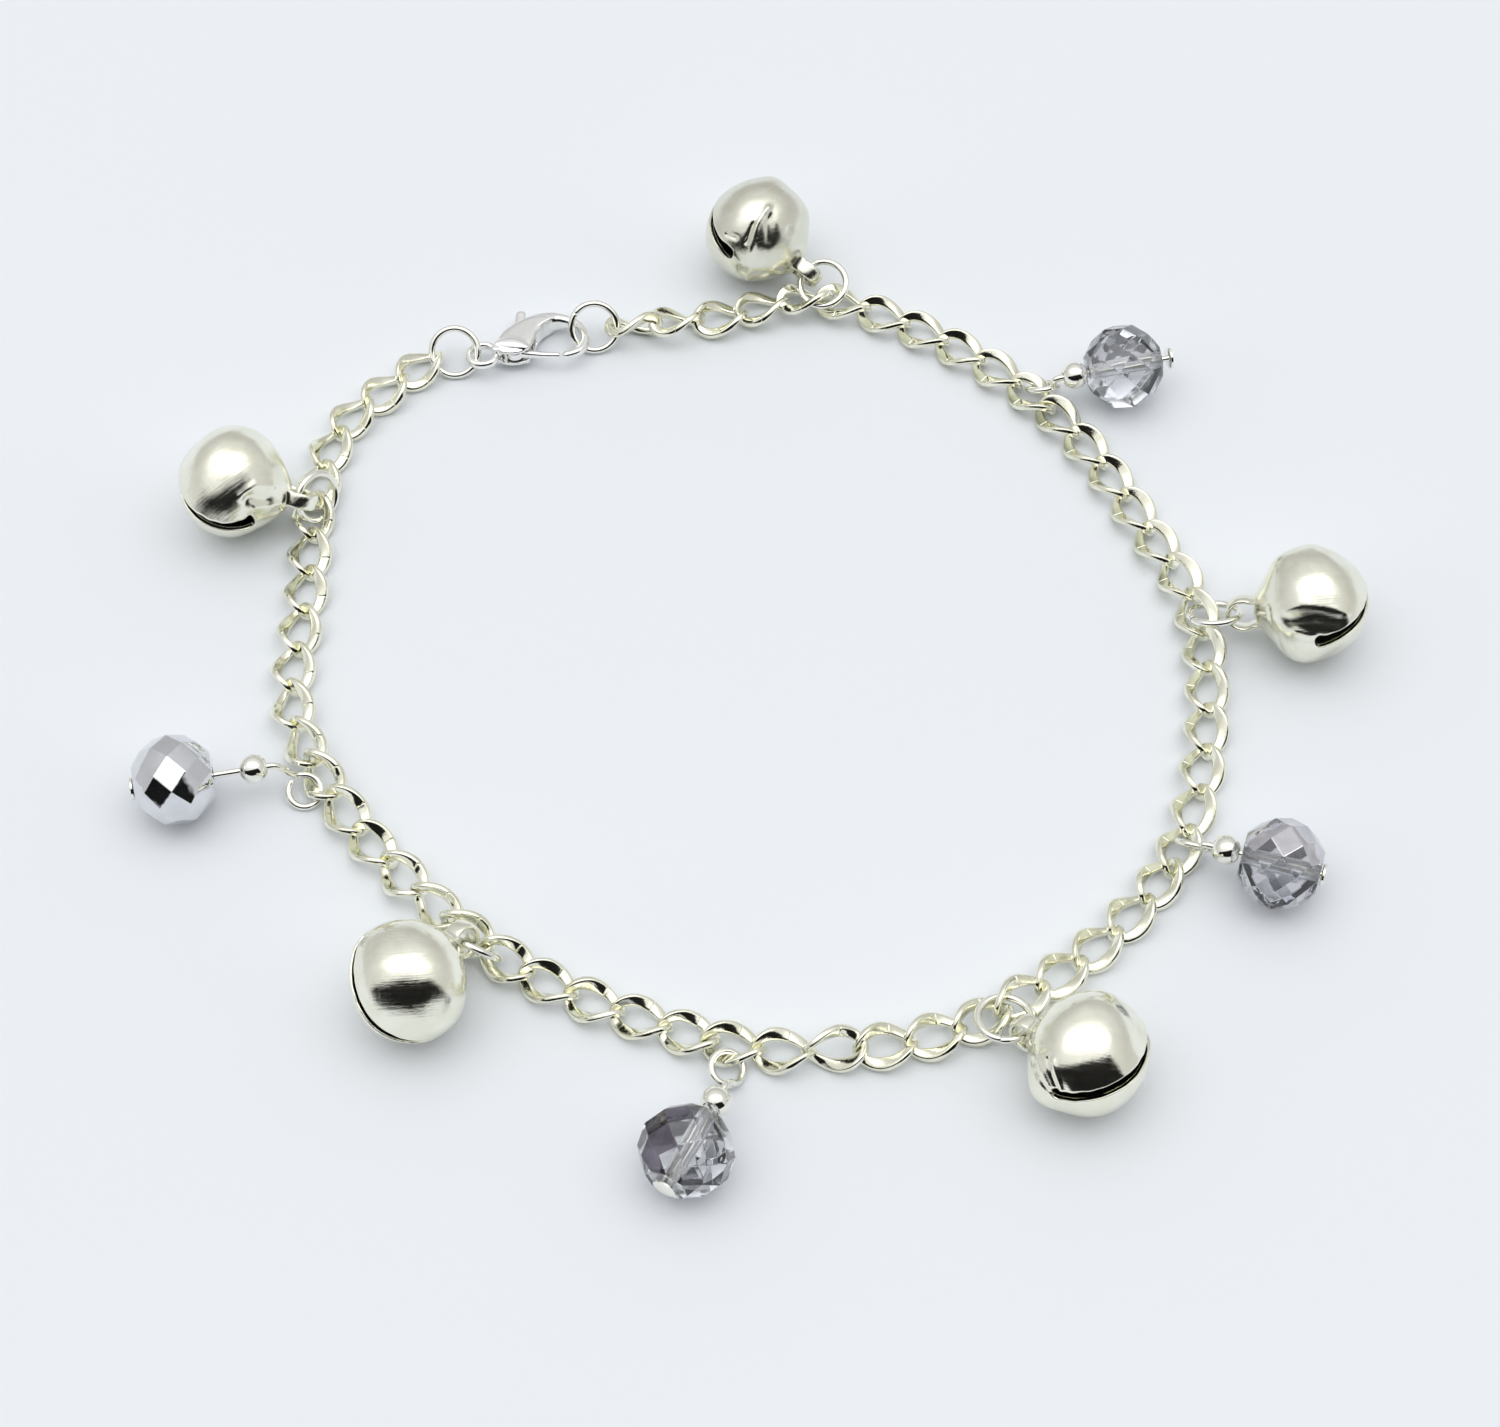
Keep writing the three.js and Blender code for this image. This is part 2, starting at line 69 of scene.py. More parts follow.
# Turn of the links about the chain, in degrees, against link number.
ROLLS = (
    (0, 0), (9, 0), (11, 32), (12, 35), (14, 0), (16, 42), (17, 45), (19, 0), (24, 0), (25, 50),
    (26, 12), (28, 6), (29, 24), (31, 0), (37, 0), (39, -28), (40, -22), (42, 0), (51, 0),
    (52, 8), (53, 26), (55, 0), (57, 55),
)


def table(keys, *rows):
    """Rows of values under the same keys."""
    return [dict(zip(keys.split(), row)) for row in rows]


# Each bell hangs on the first link of stretch "on", along and out from its middle. heading, rise
# and lean set its ring, swing is where the bail rides round it, aim is where the bell points, pull
# is more reach in mm, and turn spins it about its crown.
BELLS = table(
    "on along out heading rise lean swing aim pull turn",
    (2, 0.45, -0.1, 76, 43, 58, 94, 171, -0.15, -48),
    (4, -0.1, 0.6, -47, 27, -58, -81, 229, -0.15, 48),
    (6, -0.55, -0.35, -112, 10, 2, 71, -35, 0.2, -1),
    (8, 0.7, 0.05, -39, 25, -21, 34, -5, 0.35, -18),
    (10, -0.3, -0.55, 47, 22, 8, 91, 146, -0.15, -38),
)
# Each pin's loop holds a link in the same way, set by dip and lean, and its pin leaves at a
# heading. ball, bead and head are places along the pin, in mm.
PINS = table(
    "on along out heading dip lean ball bead head",
    (3, -0.1, 0.57, 191, -38, 154, 3.9, 6.7, 3.5), (5, 0.2, 0.68, 242, 9, -27, 4.2, 4.9, 3.7),
    (7, 0.86, 0.02, -17, 45, 121, 2.7, 4.65, 3.7), (9, 0.9, 0.46, 13, 23, 140, 2.55, 4.7, 4.3),
)
CLASP = {"place": (-22.1, 35.5, 1.65), "heading": 8, "roll": -7}
CLASP_RINGS = table(
    "name place heading tilt seam",
    ("left", (-27.75, 35.4, 1.75), -3, 39, -35), ("right", (-14.71, 38.3, 1.92), 5, 45, 140),
)


# ---- frames ----
def unit(v):
    v = np.asarray(v, float)
    return v / np.linalg.norm(v)


def turns(count):
    """Angles that share a full turn evenly."""
    return 2 * np.pi * np.arange(count) / count


def direction(heading, rise=0.0):
    """Unit vector from a heading in plan and a rise above the surface, in degrees."""
    h, r = math.radians(heading), math.radians(rise)
    return np.array([math.cos(r) * math.cos(h), math.cos(r) * math.sin(h), math.sin(r)])


def basis(x, y, z, origin):
    """Frame with the given axes and origin."""
    m = np.eye(4)
    m[:3, 0], m[:3, 1], m[:3, 2], m[:3, 3] = x, y, z, origin
    return m


def level_frame(origin, along, up=UP):
    """Frame with local x along one direction and local z as near up as it can be."""
    x = unit(along)
    y = unit(np.cross(up, x))
    return basis(x, y, np.cross(x, y), origin)


def turned(axis, degrees):
    return np.array(Matrix.Rotation(math.radians(degrees), 4, axis))


def placed(m, points):
    return np.asarray(points, float) @ m[:3, :3].T + m[:3, 3]


def run_along(points):
    """Distance along a line to each of its points."""
    return np.concatenate([[0], np.cumsum(np.linalg.norm(np.diff(points, axis=0), axis=1))])


def route_points(steps=4000):
    """Centripetal Catmull-Rom curve through ROUTE."""
    p = np.array(ROUTE, float)
    p = np.vstack([2 * p[0] - p[1], p, 2 * p[-1] - p[-2]])
    last = len(ROUTE) - 1
    found = []
    for t in np.linspace(0, last, steps + 1):
        i = min(int(t), last - 1)
        w = t - i
        p0, p1, p2, p3 = p[i:i + 4]
        d0, d1, d2 = (math.sqrt(np.linalg.norm(b - a)) for a, b in ((p0, p1), (p1, p2), (p2, p3)))
        t1 = ((p1 - p0) / d0 - (p2 - p0) / (d0 + d1) + (p2 - p1) / d1) * d1
        t2 = ((p2 - p1) / d1 - (p3 - p1) / (d1 + d2) + (p3 - p2) / d2) * d1
        found.append(p1 + t1 * w + (3 * p2 - 3 * p1 - 2 * t1 - t2) * w ** 2
                     + (2 * p1 - 2 * p2 + t1 + t2) * w ** 3)
    return np.array(found)


def link_points(angles, outs, ups):
    """Points of one twisted oval link, for angles round it and a section of (out, up) offsets."""
    half_length = (LINK["length"] - LINK["wire"]) / 2
    half_width = (LINK["width"] - LINK["wire"]) / 2
    u = np.asarray(angles, float)[:, None]
    out, up = np.broadcast_arrays(np.asarray(outs, float), np.asarray(ups, float))
    if out.ndim == 1:
        out, up = out[None, :], up[None, :]
    nx, ny = half_width * np.cos(u), half_length * np.sin(u)
    size = np.hypot(nx, ny)
    x = half_length * np.cos(u) + out * nx / size
    y = half_width * np.sin(u) + out * ny / size
    turn = -math.radians(LINK["twist"]) * x / half_length
    return np.stack([x, y * np.cos(turn) - up * np.sin(turn),
                     y * np.sin(turn) + up * np.cos(turn)], -1)


def link_frames():
    """Frame of every link: spaced along the route, and lowered until it rests on the surface."""
    route = route_points()
    run = run_along(route)
    count = sum(STRETCHES)
    steps = np.full(count, LINK["length"] - 2 * LINK["wire"])
    steps[0] = 0
    steps[FIRSTS[1:]] -= LINK["play"]
    at = np.cumsum(steps)
    centres = np.stack([np.interp(at, run, route[:, 0]), np.interp(at, run, route[:, 1]),
                        np.zeros(count)], -1)
    h = LINK["wire"] / 2
    corners = [h, -h, -h, h], [h, h, -h, -h]
    outline = link_points(turns(12), *corners).reshape(-1, 3)
    rolls = np.interp(range(count), *zip(*ROLLS))

    def frames():
        ahead = centres[np.minimum(np.arange(count) + 1, count - 1)] - centres[
            np.maximum(np.arange(count) - 1, 0)]
        return [level_frame(centres[i], ahead[i]) @ turned("X", rolls[i]) for i in range(count)]

    for _ in range(SETTLES):
        for i, m in enumerate(frames()):
            centres[i, 2] -= placed(m, outline)[:, 2].min()
    return frames()


LINKS = link_frames()


def loop_axes(fitting, rise):
    """In-plane axes of a ring or loop: the way it goes off, and across that, leaning over."""
    away = direction(fitting["heading"], rise)
    level = unit(np.cross(UP, away))
    steep = np.cross(away, level)
    lean = math.radians(fitting["lean"])
    return away, level * math.cos(lean) + steep * math.sin(lean)


def hold_point(fitting):
    """Point of the chain that a bell's ring or a pin's loop goes round."""
    return placed(LINKS[FIRSTS[fitting["on"] - 1]], (fitting["along"], -fitting["out"], 0))


def bell_frames(fitting):
    """Frame of a bell's ring (axis z), and of the bell (bore y, crown z)."""
    away, across = loop_axes(fitting, fitting["rise"])
    ring_centre = hold_point(fitting) + RING["radius"] * away
    ring = basis(away, across, np.cross(away, across), ring_centre)
    swing = math.radians(fitting["swing"])
    spoke = away * math.cos(swing) + across * math.sin(swing)
    tangent = across * math.cos(swing) - away * math.sin(swing)
    eye = ring_centre + RING["radius"] * spoke
    reach = BAIL["reach"] + fitting["pull"]
    pitch = 0.0
    for _ in range(SETTLES):
        height = BELL["radius"] * math.hypot(math.cos(pitch), BELL["squash"] * math.sin(pitch))
        pitch = math.asin((height - eye[2]) / reach)
    aim = direction(fitting["aim"], math.degrees(pitch))
    bore = unit(tangent - aim * (tangent @ aim))
    return ring, basis(np.cross(bore, -aim), bore, -aim, eye + reach * aim)


# ---- mesh helpers ----
def grid_faces(rows, columns, wrap_rows, wrap_columns):
    """Quads of a grid of points, row by row."""
    r = np.arange(rows if wrap_rows else rows - 1)
    c = np.arange(columns if wrap_columns else columns - 1)
    r, c = np.meshgrid(r, c, indexing="ij")
    r2, c2 = (r + 1) % rows, (c + 1) % columns
    quads = np.stack([r * columns + c, r2 * columns + c, r2 * columns + c2, r * columns + c2], -1)
    return quads.reshape(-1, 4).tolist()


def end_caps(rows, columns):
    """Faces that close the first and the last row of a grid."""
    return [list(range(columns))[::-1], list(range((rows - 1) * columns, rows * columns))]


def outward(points, faces):
    """The same faces, turned so that the closed surface faces out."""
    p = np.asarray(points)
    volume = sum(
        float(np.einsum("ij,ij->i", p[f[:, 0]], np.cross(p[f[:, k]], p[f[:, k + 1]])).sum())
        for size in {len(f) for f in faces}
        for f in [np.array([g for g in faces if len(g) == size])]
        for k in range(1, size - 1))
    return [f[::-1] for f in faces] if volume < 0 else faces


def merged(*parts):
    """Several (points, faces) as one."""
    points, faces, base = [], [], 0
    for p, f in parts:
        points.append(np.asarray(p, float))
        faces += [[i + base for i in face] for face in f]
        base += len(p)
    return np.vstack(points), faces


def sweep(centres, sides, ups, sections, closed=False):
    """Tube through centres; sections is (steps or 1, points, 2) of offsets along sides and ups."""
    centres, sides, ups = (np.broadcast_to(np.asarray(a, float), np.shape(centres))[:, None, :]
                           for a in (centres, sides, ups))
    sections = np.broadcast_to(sections, (len(centres),) + np.shape(sections)[-2:])
    points = centres + sides * sections[..., :1] + ups * sections[..., 1:]
    n, m = points.shape[:2]
    faces = grid_faces(n, m, closed, True)
    if not closed:
        faces += end_caps(n, m)
    points = points.reshape(-1, 3)
    return points, outward(points, faces)


def ellipse(a, b, count=16, power=2.0):
    """Superellipse outline; power 2 is an ellipse and more is squarer."""
    c, s = np.cos(turns(count)), np.sin(turns(count))
    return np.stack([a * np.sign(c) * np.abs(c) ** (2 / power),
                     b * np.sign(s) * np.abs(s) ** (2 / power)], -1)


def tangents_of(path):
    t = np.gradient(path, axis=0)
    return t / np.linalg.norm(t, axis=1)[:, None]


def path_frames(path, up):
    """Side and up vectors along a path, carried with as little twist as can be."""
    tangents = tangents_of(path)
    side = unit(np.cross(up, tangents[0]))
    sides = []
    for t in tangents:
        side = unit(side - t * (side @ t))
        sides.append(side)
    sides = np.array(sides)
    return sides, np.cross(tangents, sides)


def smooth_path(points, steps, fine=24):
    """Catmull-Rom curve through points, evenly stepped."""
    p = np.asarray(points, float)
    ends = np.vstack([2 * p[0] - p[1], p, 2 * p[-1] - p[-2]])
    found = []
    for i in range(len(p) - 1):
        a, b, c, d = ends[i:i + 4]
        for w in np.linspace(0, 1, fine, endpoint=False):
            found.append(0.5 * (2 * b + (c - a) * w + (2 * a - 5 * b + 4 * c - d) * w ** 2
                                + (3 * b - a - 3 * c + d) * w ** 3))
    found = np.array(found + [p[-1]])
    run = run_along(found[:, :3])
    at = np.linspace(0, run[-1], steps)
    return np.stack([np.interp(at, run, found[:, k]) for k in range(p.shape[1])], -1)


def circle(t):
    """Unit vectors round the z axis."""
    return np.stack([np.cos(t), np.sin(t), np.zeros_like(t)], -1)


def lathe(profile, count, closed=False):
    """Surface turned about local x from (x, radius) pairs, capped unless its profile is closed."""
    x, r = np.array(profile, float).T
    t = turns(count)
    points = np.stack([np.repeat(x, count), np.outer(r, np.cos(t)).ravel(),
                       np.outer(r, np.sin(t)).ravel()], -1)
    faces = grid_faces(len(x), count, closed, True)
    if not closed:
        faces += end_caps(len(x), count)
    return points, outward(points, faces)


def mesh_of(points, faces):
    mesh = bpy.data.meshes.new("made")
    mesh.from_pydata(np.asarray(points, float).tolist(), [], faces)
    mesh.update()
    return mesh


def object_of(name, data):
    made = bpy.data.objects.new(name, data)
    bpy.context.scene.collection.objects.link(made)
    return made


def remeshed(parts, voxel, passes):
    """Union of closed parts as one rounded skin, as metal is when cast or soldered together."""
    mesh = mesh_of(*merged(*parts))
    made = object_of("remeshing", mesh)
    skin = made.modifiers.new("skin", "REMESH")
    skin.mode, skin.voxel_size = "VOXEL", voxel
    soften = made.modifiers.new("soften", "SMOOTH")
    soften.factor, soften.iterations = 0.5, passes
    result = made.evaluated_get(bpy.context.evaluated_depsgraph_get()).to_mesh()
    points = np.empty(len(result.vertices) * 3)
    result.vertices.foreach_get("co", points)
    faces = [list(p.vertices) for p in result.polygons]
    made.to_mesh_clear()
    bpy.data.objects.remove(made)
    bpy.data.meshes.remove(mesh)
    return points.reshape(-1, 3), faces


def lists_of(made):
    """Points and faces of a bmesh."""
    made.verts.index_update()
    return np.array([v.co for v in made.verts]), [[v.index for v in f.verts] for f in made.faces]


def add_piece(name, points, faces, place, slot, stands_for, materials, body="anklet", sharp=40,
              face_materials=None, local_turn=None):
    """Makes a piece from local points in mm, keeps those as "local", and rides it on its body."""
    points = np.asarray(points, float)
    mesh = mesh_of(placed(place, points) * MM, faces)
    mesh.name = name
    local = points if local_turn is None else placed(local_turn, points)
    mesh.attributes.new("local", "FLOAT_VECTOR", "POINT").data.foreach_set("vector", local.ravel())
    for m in materials:
        mesh.materials.append(m)
    if face_materials is not None:
        mesh.polygons.foreach_set("material_index", face_materials)
    mesh.polygons.foreach_set("use_smooth", [True] * len(faces))
    if sharp is not None:
        mesh.set_sharp_from_angle(angle=math.radians(sharp))
    piece = object_of(name, mesh)
    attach(piece, body)
    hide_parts(stands_for)
    return piece


# ---- materials ----
class Nodes:
    """Short way to write a node tree."""

    def __init__(self, tree):
        self.tree = tree
        tree.nodes.clear()

    def add(self, kind, inputs=None, **settings):
        node = self.tree.nodes.new(kind)
        for key, value in settings.items():
            setattr(node, key, value)
        for key, value in (inputs or {}).items():
            socket = node.inputs[key]
            if isinstance(value, bpy.types.NodeSocket):
                self.tree.links.new(value, socket)
            else:
                socket.default_value = value
        return node

    def maths(self, operation, a, b=0.0, c=0.0):
        return self.add("ShaderNodeMath", {0: a, 1: b, 2: c}, operation=operation).outputs[0]

    def between(self, value, low, high, to_low=0.0, to_high=1.0, smooth=False):
        return self.add("ShaderNodeMapRange", {
            "Value": value, "From Min": low, "From Max": high, "To Min": to_low, "To Max": to_high,
        }, interpolation_type="SMOOTHSTEP" if smooth else "LINEAR").outputs["Result"]

    def noise(self, vector, scale, detail=2.0, rough=0.5):
        return self.add("ShaderNodeTexNoise", {
            "Vector": vector, "Scale": scale, "Detail": detail, "Roughness": rough}).outputs["Fac"]

    def bump(self, height, distance, normal=None, strength=1.0):
        inputs = {"Height": height, "Strength": strength, "Distance": distance}
        if normal is not None:
            inputs["Normal"] = normal
        return self.add("ShaderNodeBump", inputs).outputs[0]

    def surface(self, inputs):
        shader = self.add("ShaderNodeBsdfPrincipled", inputs)
        self.add("ShaderNodeOutputMaterial", {"Surface": shader.outputs[0]})

    def mix(self, factor, a, b):
        return self.add("ShaderNodeMix", {"Factor": factor, 6: (*a, 1.0), 7: (*b, 1.0)},
                        data_type="RGBA").outputs[2]


def new_material(name):
    material = bpy.data.materials.new(name)
    material.use_nodes = True
    return material, Nodes(material.node_tree)


def silver(name, light, deep, rough, spread, streaks=0.0, pits=0.0):
    """Plated metal: two near tones in soft patches, uneven polish, fine brush streaks along local y
    and z, and small pits. streaks and pits are bump heights in mm."""
    material, n = new_material(name)
    local = n.add("ShaderNodeAttribute", attribute_name="local").outputs["Vector"]
    tone = n.mix(n.between(n.noise(local, 0.55, 3.0), 0.35, 0.65, smooth=True), light, deep)
    polish = n.between(n.noise(local, 3.5, 4.0, 0.6), 0.3, 0.7, rough - spread, rough + spread)
    bump = n.bump(n.noise(local, 2.2, 2.0), 2.5 * pits * MM)
    bump = n.bump(n.noise(local, 7.0, 3.0, 0.6), pits * MM, bump)
    if streaks:
        across = n.add("ShaderNodeMapping", {"Vector": local, "Scale": (5.5, 0.22, 0.22)})
        brushed = n.noise(across.outputs[0], 1.0, 5.0, 0.65)
        polish = n.maths("ADD", polish, n.between(brushed, 0.35, 0.7, -0.03, 0.07))
        bump = n.bump(brushed, streaks * MM, bump)
    n.surface({"Base Color": tone, "Metallic": 1.0, "Roughness": polish, "Normal": bump})
    return material


def glass(name, light, deep, mirror, rough=0.02):
    """Grey glass; mirror is how much of it the metal coating turns into a mirror."""
    material, n = new_material(name)
    local = n.add("ShaderNodeAttribute", attribute_name="local").outputs["Vector"]
    tone = n.mix(n.between(n.noise(local, 0.5, 2.0), 0.35, 0.65), light, deep)
    polish = n.between(n.noise(local, 5.0, 4.0), 0.45, 0.75, rough, rough + 0.06)
    bump = n.bump(n.noise(local, 0.9, 1.0), 0.02 * MM)
    n.surface({"Base Color": tone, "Metallic": mirror, "Roughness": polish, "IOR": 1.56,
               "Transmission Weight": 1.0, "Normal": bump})
    return material


LOOKS = {
    "chain": silver("chain_silver", (0.94, 0.935, 0.8), (0.84, 0.83, 0.67), 0.1, 0.05, pits=0.004),
    "ring": silver("ring_silver", (0.94, 0.935, 0.87), (0.88, 0.875, 0.8), 0.08, 0.03, pits=0.002),
    "pin": silver("pin_silver", (0.94, 0.935, 0.86), (0.88, 0.87, 0.79), 0.07, 0.03, pits=0.002),
    "clasp": silver("clasp_silver", (0.96, 0.96, 0.94), (0.91, 0.91, 0.89), 0.16, 0.05, pits=0.004),
    "steel": silver("rattle_steel", (0.42, 0.41, 0.4), (0.3, 0.29, 0.28), 0.35, 0.08, pits=0.006),
    "clear": glass("clear_glass", (0.87, 0.88, 0.9), (0.82, 0.83, 0.86), 0.04),
    "drilled": glass("drilled_glass", (0.93, 0.93, 0.95), (0.85, 0.85, 0.88), 0.1, rough=0.3),
    "mirror_coat": glass("mirror_coat", (0.8, 0.81, 0.84), (0.72, 0.73, 0.76), 0.95),
    "purple_coat": glass("purple_coat", (0.2, 0.175, 0.22), (0.09, 0.08, 0.105), 0.72),
    "lilac_coat": glass("lilac_coat", (0.78, 0.77, 0.81), (0.68, 0.67, 0.71), 0.78),
    "bright_coat": glass("bright_coat", (0.8, 0.81, 0.84), (0.7, 0.71, 0.74), 0.75),
    # Near-black inner skin of the bells: painted shade, darker than bare metal, so the inside of each
    # shell reads dark through its slot.
    "inside": silver("bell_inside", (0.1, 0.095, 0.075), (0.05, 0.048, 0.04), 0.6, 0.1, pits=0.01),
}
PLATING = ((0.94, 0.935, 0.82), (0.88, 0.875, 0.74))
# Roughness of each bell, the height of its polish lines in mm, and a factor on its plating's tones that
# paints shade: below 1 on bells 4 and 5.
POLISH = (
    (0.16, 0.02, 1.0), (0.12, 0.017, 1.0), (0.12, 0.006, 1.0), (0.15, 0.014, 0.97),
    (0.2, 0.008, 0.87),
)
# Darker copies of the same plating on bells 4 and 5 are painted shade, not a different metal.
for number, (rough, streaks, shade) in enumerate(POLISH, 1):
    tones = [[shade * channel for channel in tone] for tone in PLATING]
    LOOKS[f"bell_{number}"] = silver(f"bell_silver_{number}", *tones, rough, 0.04,
                                     streaks=streaks, pits=0.003)


# ---- chain ----
# Lean of the links' flats towards their middles, in degrees, against link number.
CUPS = ((0, 28), (4, 32), (15, 34), (18, 26), (37, 26), (41, 10), (52, 10), (54, 26), (57, 26))
# Half width and half height of a link's wire at its ends, how much more of each its flats have,
# how far in and up it is set, and how square its section is.
WIRE = {"wide": 0.38, "tall": 0.31, "more_wide": 0.19, "more_tall": 0.06, "inset": 0.15, "lift": 0.04,
        "square": 3.4}
# The cut where a link was closed: its place in degrees, its edges and half width in radians, and
# how much narrower the wire is in it.
CUT = {"at": 78, "edges": (-0.02, -0.01, 0.01, 0.02), "half": 0.015, "narrower": 0.1}
LEAN_SPREAD = 12  # degrees that a link's lean may differ from CUPS


def turn_2d(degrees):
    """Matrix that turns rows of (x, y)."""
    c, s = math.cos(math.radians(degrees)), math.sin(math.radians(degrees))
    return np.array([[c, s], [-s, c]])


def add_chain():
    """Links of flat-ground wire with a fine cut where each was closed."""
    cut = math.radians(CUT["at"])
    around = np.sort(np.concatenate([turns(72) + 0.01, cut + np.array(CUT["edges"])]))
    shape = ellipse(1, 1, 24, WIRE["square"])
    strand = np.abs(np.sin(around))[:, None] ** 1.5
    narrowing = (1 - CUT["narrower"] * (np.abs(around - cut) < CUT["half"]))[:, None]
    wide = narrowing * (WIRE["wide"] + WIRE["more_wide"] * strand) * shape[:, 0]
    tall = narrowing * (WIRE["tall"] + WIRE["more_tall"] * strand) * shape[:, 1]
    flat = np.stack([wide, tall], -1)
    faces = outward(link_points(around, wide, tall).reshape(-1, 3),
                    grid_faces(len(around), len(shape), True, True))
    rng = np.random.default_rng(11)
    spread = rng.uniform(-LEAN_SPREAD, LEAN_SPREAD, len(LINKS))
    cups = np.interp(range(len(LINKS)), *zip(*CUPS)) + spread
    for stretch, count in enumerate(STRETCHES, 1):
        parts = []
        first = FIRSTS[stretch - 1]
        for m, cup in zip(LINKS[first:first + count], cups[first:]):
            waves = rng.uniform(0, 2 * np.pi, 3)
            uneven = 1 + 0.03 * sum(np.sin((k + 2) * around + w) for k, w in enumerate(waves))
            section = (flat @ turn_2d(cup)) * uneven[:, None, None]
            points = link_points(around, section[..., 0] - WIRE["inset"] * strand,
                                 section[..., 1] + WIRE["lift"])
            parts.append((placed(m, points.reshape(-1, 3)), faces))
        add_piece(f"links_{stretch}", *merged(*parts), np.eye(4), "silver_chain",
                  f"chain_{stretch}", [LOOKS["chain"]], sharp=None)


# ---- rings ----
# A jump ring's cut: half the gap in radians, how far each end springs aside in mm, and its size.
RING_END = {"gap": 0.012, "spring": 0.05, "size": 0.88}


def ring_shape(seam):
    """Jump ring of round wire, not quite closed: its two cut ends sit a little past each other."""
    k = np.linspace(-1, 1, 121)
    t = math.radians(seam) + math.pi + k * (math.pi - RING_END["gap"])
    spoke = circle(t)
    centres = spoke * RING["radius"]
    centres[:, 2] = RING_END["spring"] * np.sign(k) * np.abs(k) ** 7
    wire = ellipse(RING["wire"] / 2, RING["wire"] / 2, 16)
    sizes = np.ones(len(k))
    sizes[[0, -1]] = RING_END["size"]
    return sweep(centres, spoke, UP, sizes[:, None, None] * wire)


def add_ring(name, stands_for, place, seam):
    add_piece(name, *ring_shape(seam), place, "silver_ring", stands_for, [LOOKS["ring"]])


# ---- bells ----
# Each bell's slot: how far it runs back and forward from the mouth in degrees, its half width at
# the mouth and at its ends in mm, how its lips share that, how far each lip turns out in mm, and
# the slope of the shell's polish lines in degrees.
SLOTS = table(
    "back front mouth ends share flare polish",
    (92, 130, 0.42, 0.72, (1.7, 0.7), (0.4, 0.1), 37),
    (88, 92, 0.46, 0.5, (1.0, 1.0), (0.14, 0.08), 4),
    (92, 90, 0.42, 0.56, (1.2, 0.8), (0.3, 0.22), -8),
    (86, 90, 0.36, 0.7, (1.0, 1.0), (0.2, 0.12), 3),
    (90, 91, 0.3, 0.75, (1.0, 1.0), (0.16, 0.1), 22),
)
# Dents, folds and bulges: height and width in mm, then the latitudes (towards one side of the slot)
# and longitudes (round the slot from the mouth) that each runs through, in degrees.
MARKS = {
    1: ((0.3, 1.6, ((2, 160),)), (-0.16, 2.2, ((20, -17),)),
        (0.17, 0.36, ((38, 112), (46, 138), (32, 160))),
        (-0.24, 0.62, ((35, 122), (24, 147))), (0.12, 0.28, ((22, 131), (11, 160))),
        (-0.1, 0.3, ((30, 118), (14, 122))), (0.1, 0.9, ((60, -170), (42, 170)))),
    2: ((0.22, 1.8, ((1, -83),)), (-0.3, 2.3, ((53, 20), (54, 52))), (0.12, 1.2, ((26, 60),))),
    3: ((0.75, 1.9, ((-14, -118),)), (0.15, 0.3, ((30, -111), (7, -92))),
        (-0.2, 0.28, ((22, -118), (8, -99), (-1, -86))),
        (0.13, 0.26, ((33, -87), (7, -78))), (-0.17, 0.24, ((34, -96), (10, -83))),
        (-0.2, 2.0, ((18, 40),)), (0.1, 1.2, ((-16, -40), (-10, -5)))),
    4: ((0.42, 1.7, ((59, 151),)), (-0.42, 2.0, ((-36, -62),)), (0.24, 1.9, ((-31, -117),)),
        (0.16, 1.1, ((59, 81),)), (0.09, 0.42, ((34, -115), (42, -93), (34, -66), (17, -44))),
        (-0.16, 0.7, ((27, -112), (27, -77), (14, -55))),
        (0.15, 0.34, ((15, -104), (10, -88))), (-0.12, 0.3, ((28, -145), (5, -131), (-21, -131)))),
    5: ((0.24, 1.3, ((47, -56),)), (-0.26, 2.0, ((-31, 85),)), (0.24, 1.7, ((41, -140),)),
        (0.24, 0.32, ((69, 86), (46, 92), (20, 106), (-22, 124))), (-0.2, 0.22, ((45, 86), (25, 94))),
        (-0.22, 0.5, ((60, 104), (38, 121))), (-0.14, 0.24, ((15, 68), (21, 80))),
        (0.12, 0.3, ((5, 84), (0, 100))), (-0.12, 0.5, ((50, 156),))),
}
SEAMS = (200, 150, 10, 250, 60)  # where each bell's jump ring closes, in degrees
# Waves of the pressed sheet: how closely they follow each other, and their height in mm.
WAVES = ((1.3, 0.04), (1.9, 0.04), (2.7, 0.03), (4.0, 0.016), (7.0, 0.006), (11.0, 0.003))
SHOULDER = {"height": 0.8, "width": 2.1}  # where the crown is drawn up to the bail, in mm
LIP_FADE = 2.6  # mm over which the lips lie flat again towards the slot's ends
# The rounded edge of the lips, and the way over the shell from the slot to its side, in mm.
LIP_EDGE, LIP_TO_SIDE = 0.08, 7.5
# One foot of the bail's strap, and the mound of solder on the crown as (height, radius).
FOOT = ((1.22, 0, 4.95), (1.5, 0, 4.45), (1.95, 0, 4.05))
MOUND = ((4.2, 1.9), (4.6, 1.75), (4.85, 1.4), (4.98, 1.0), (5.05, 0.4))


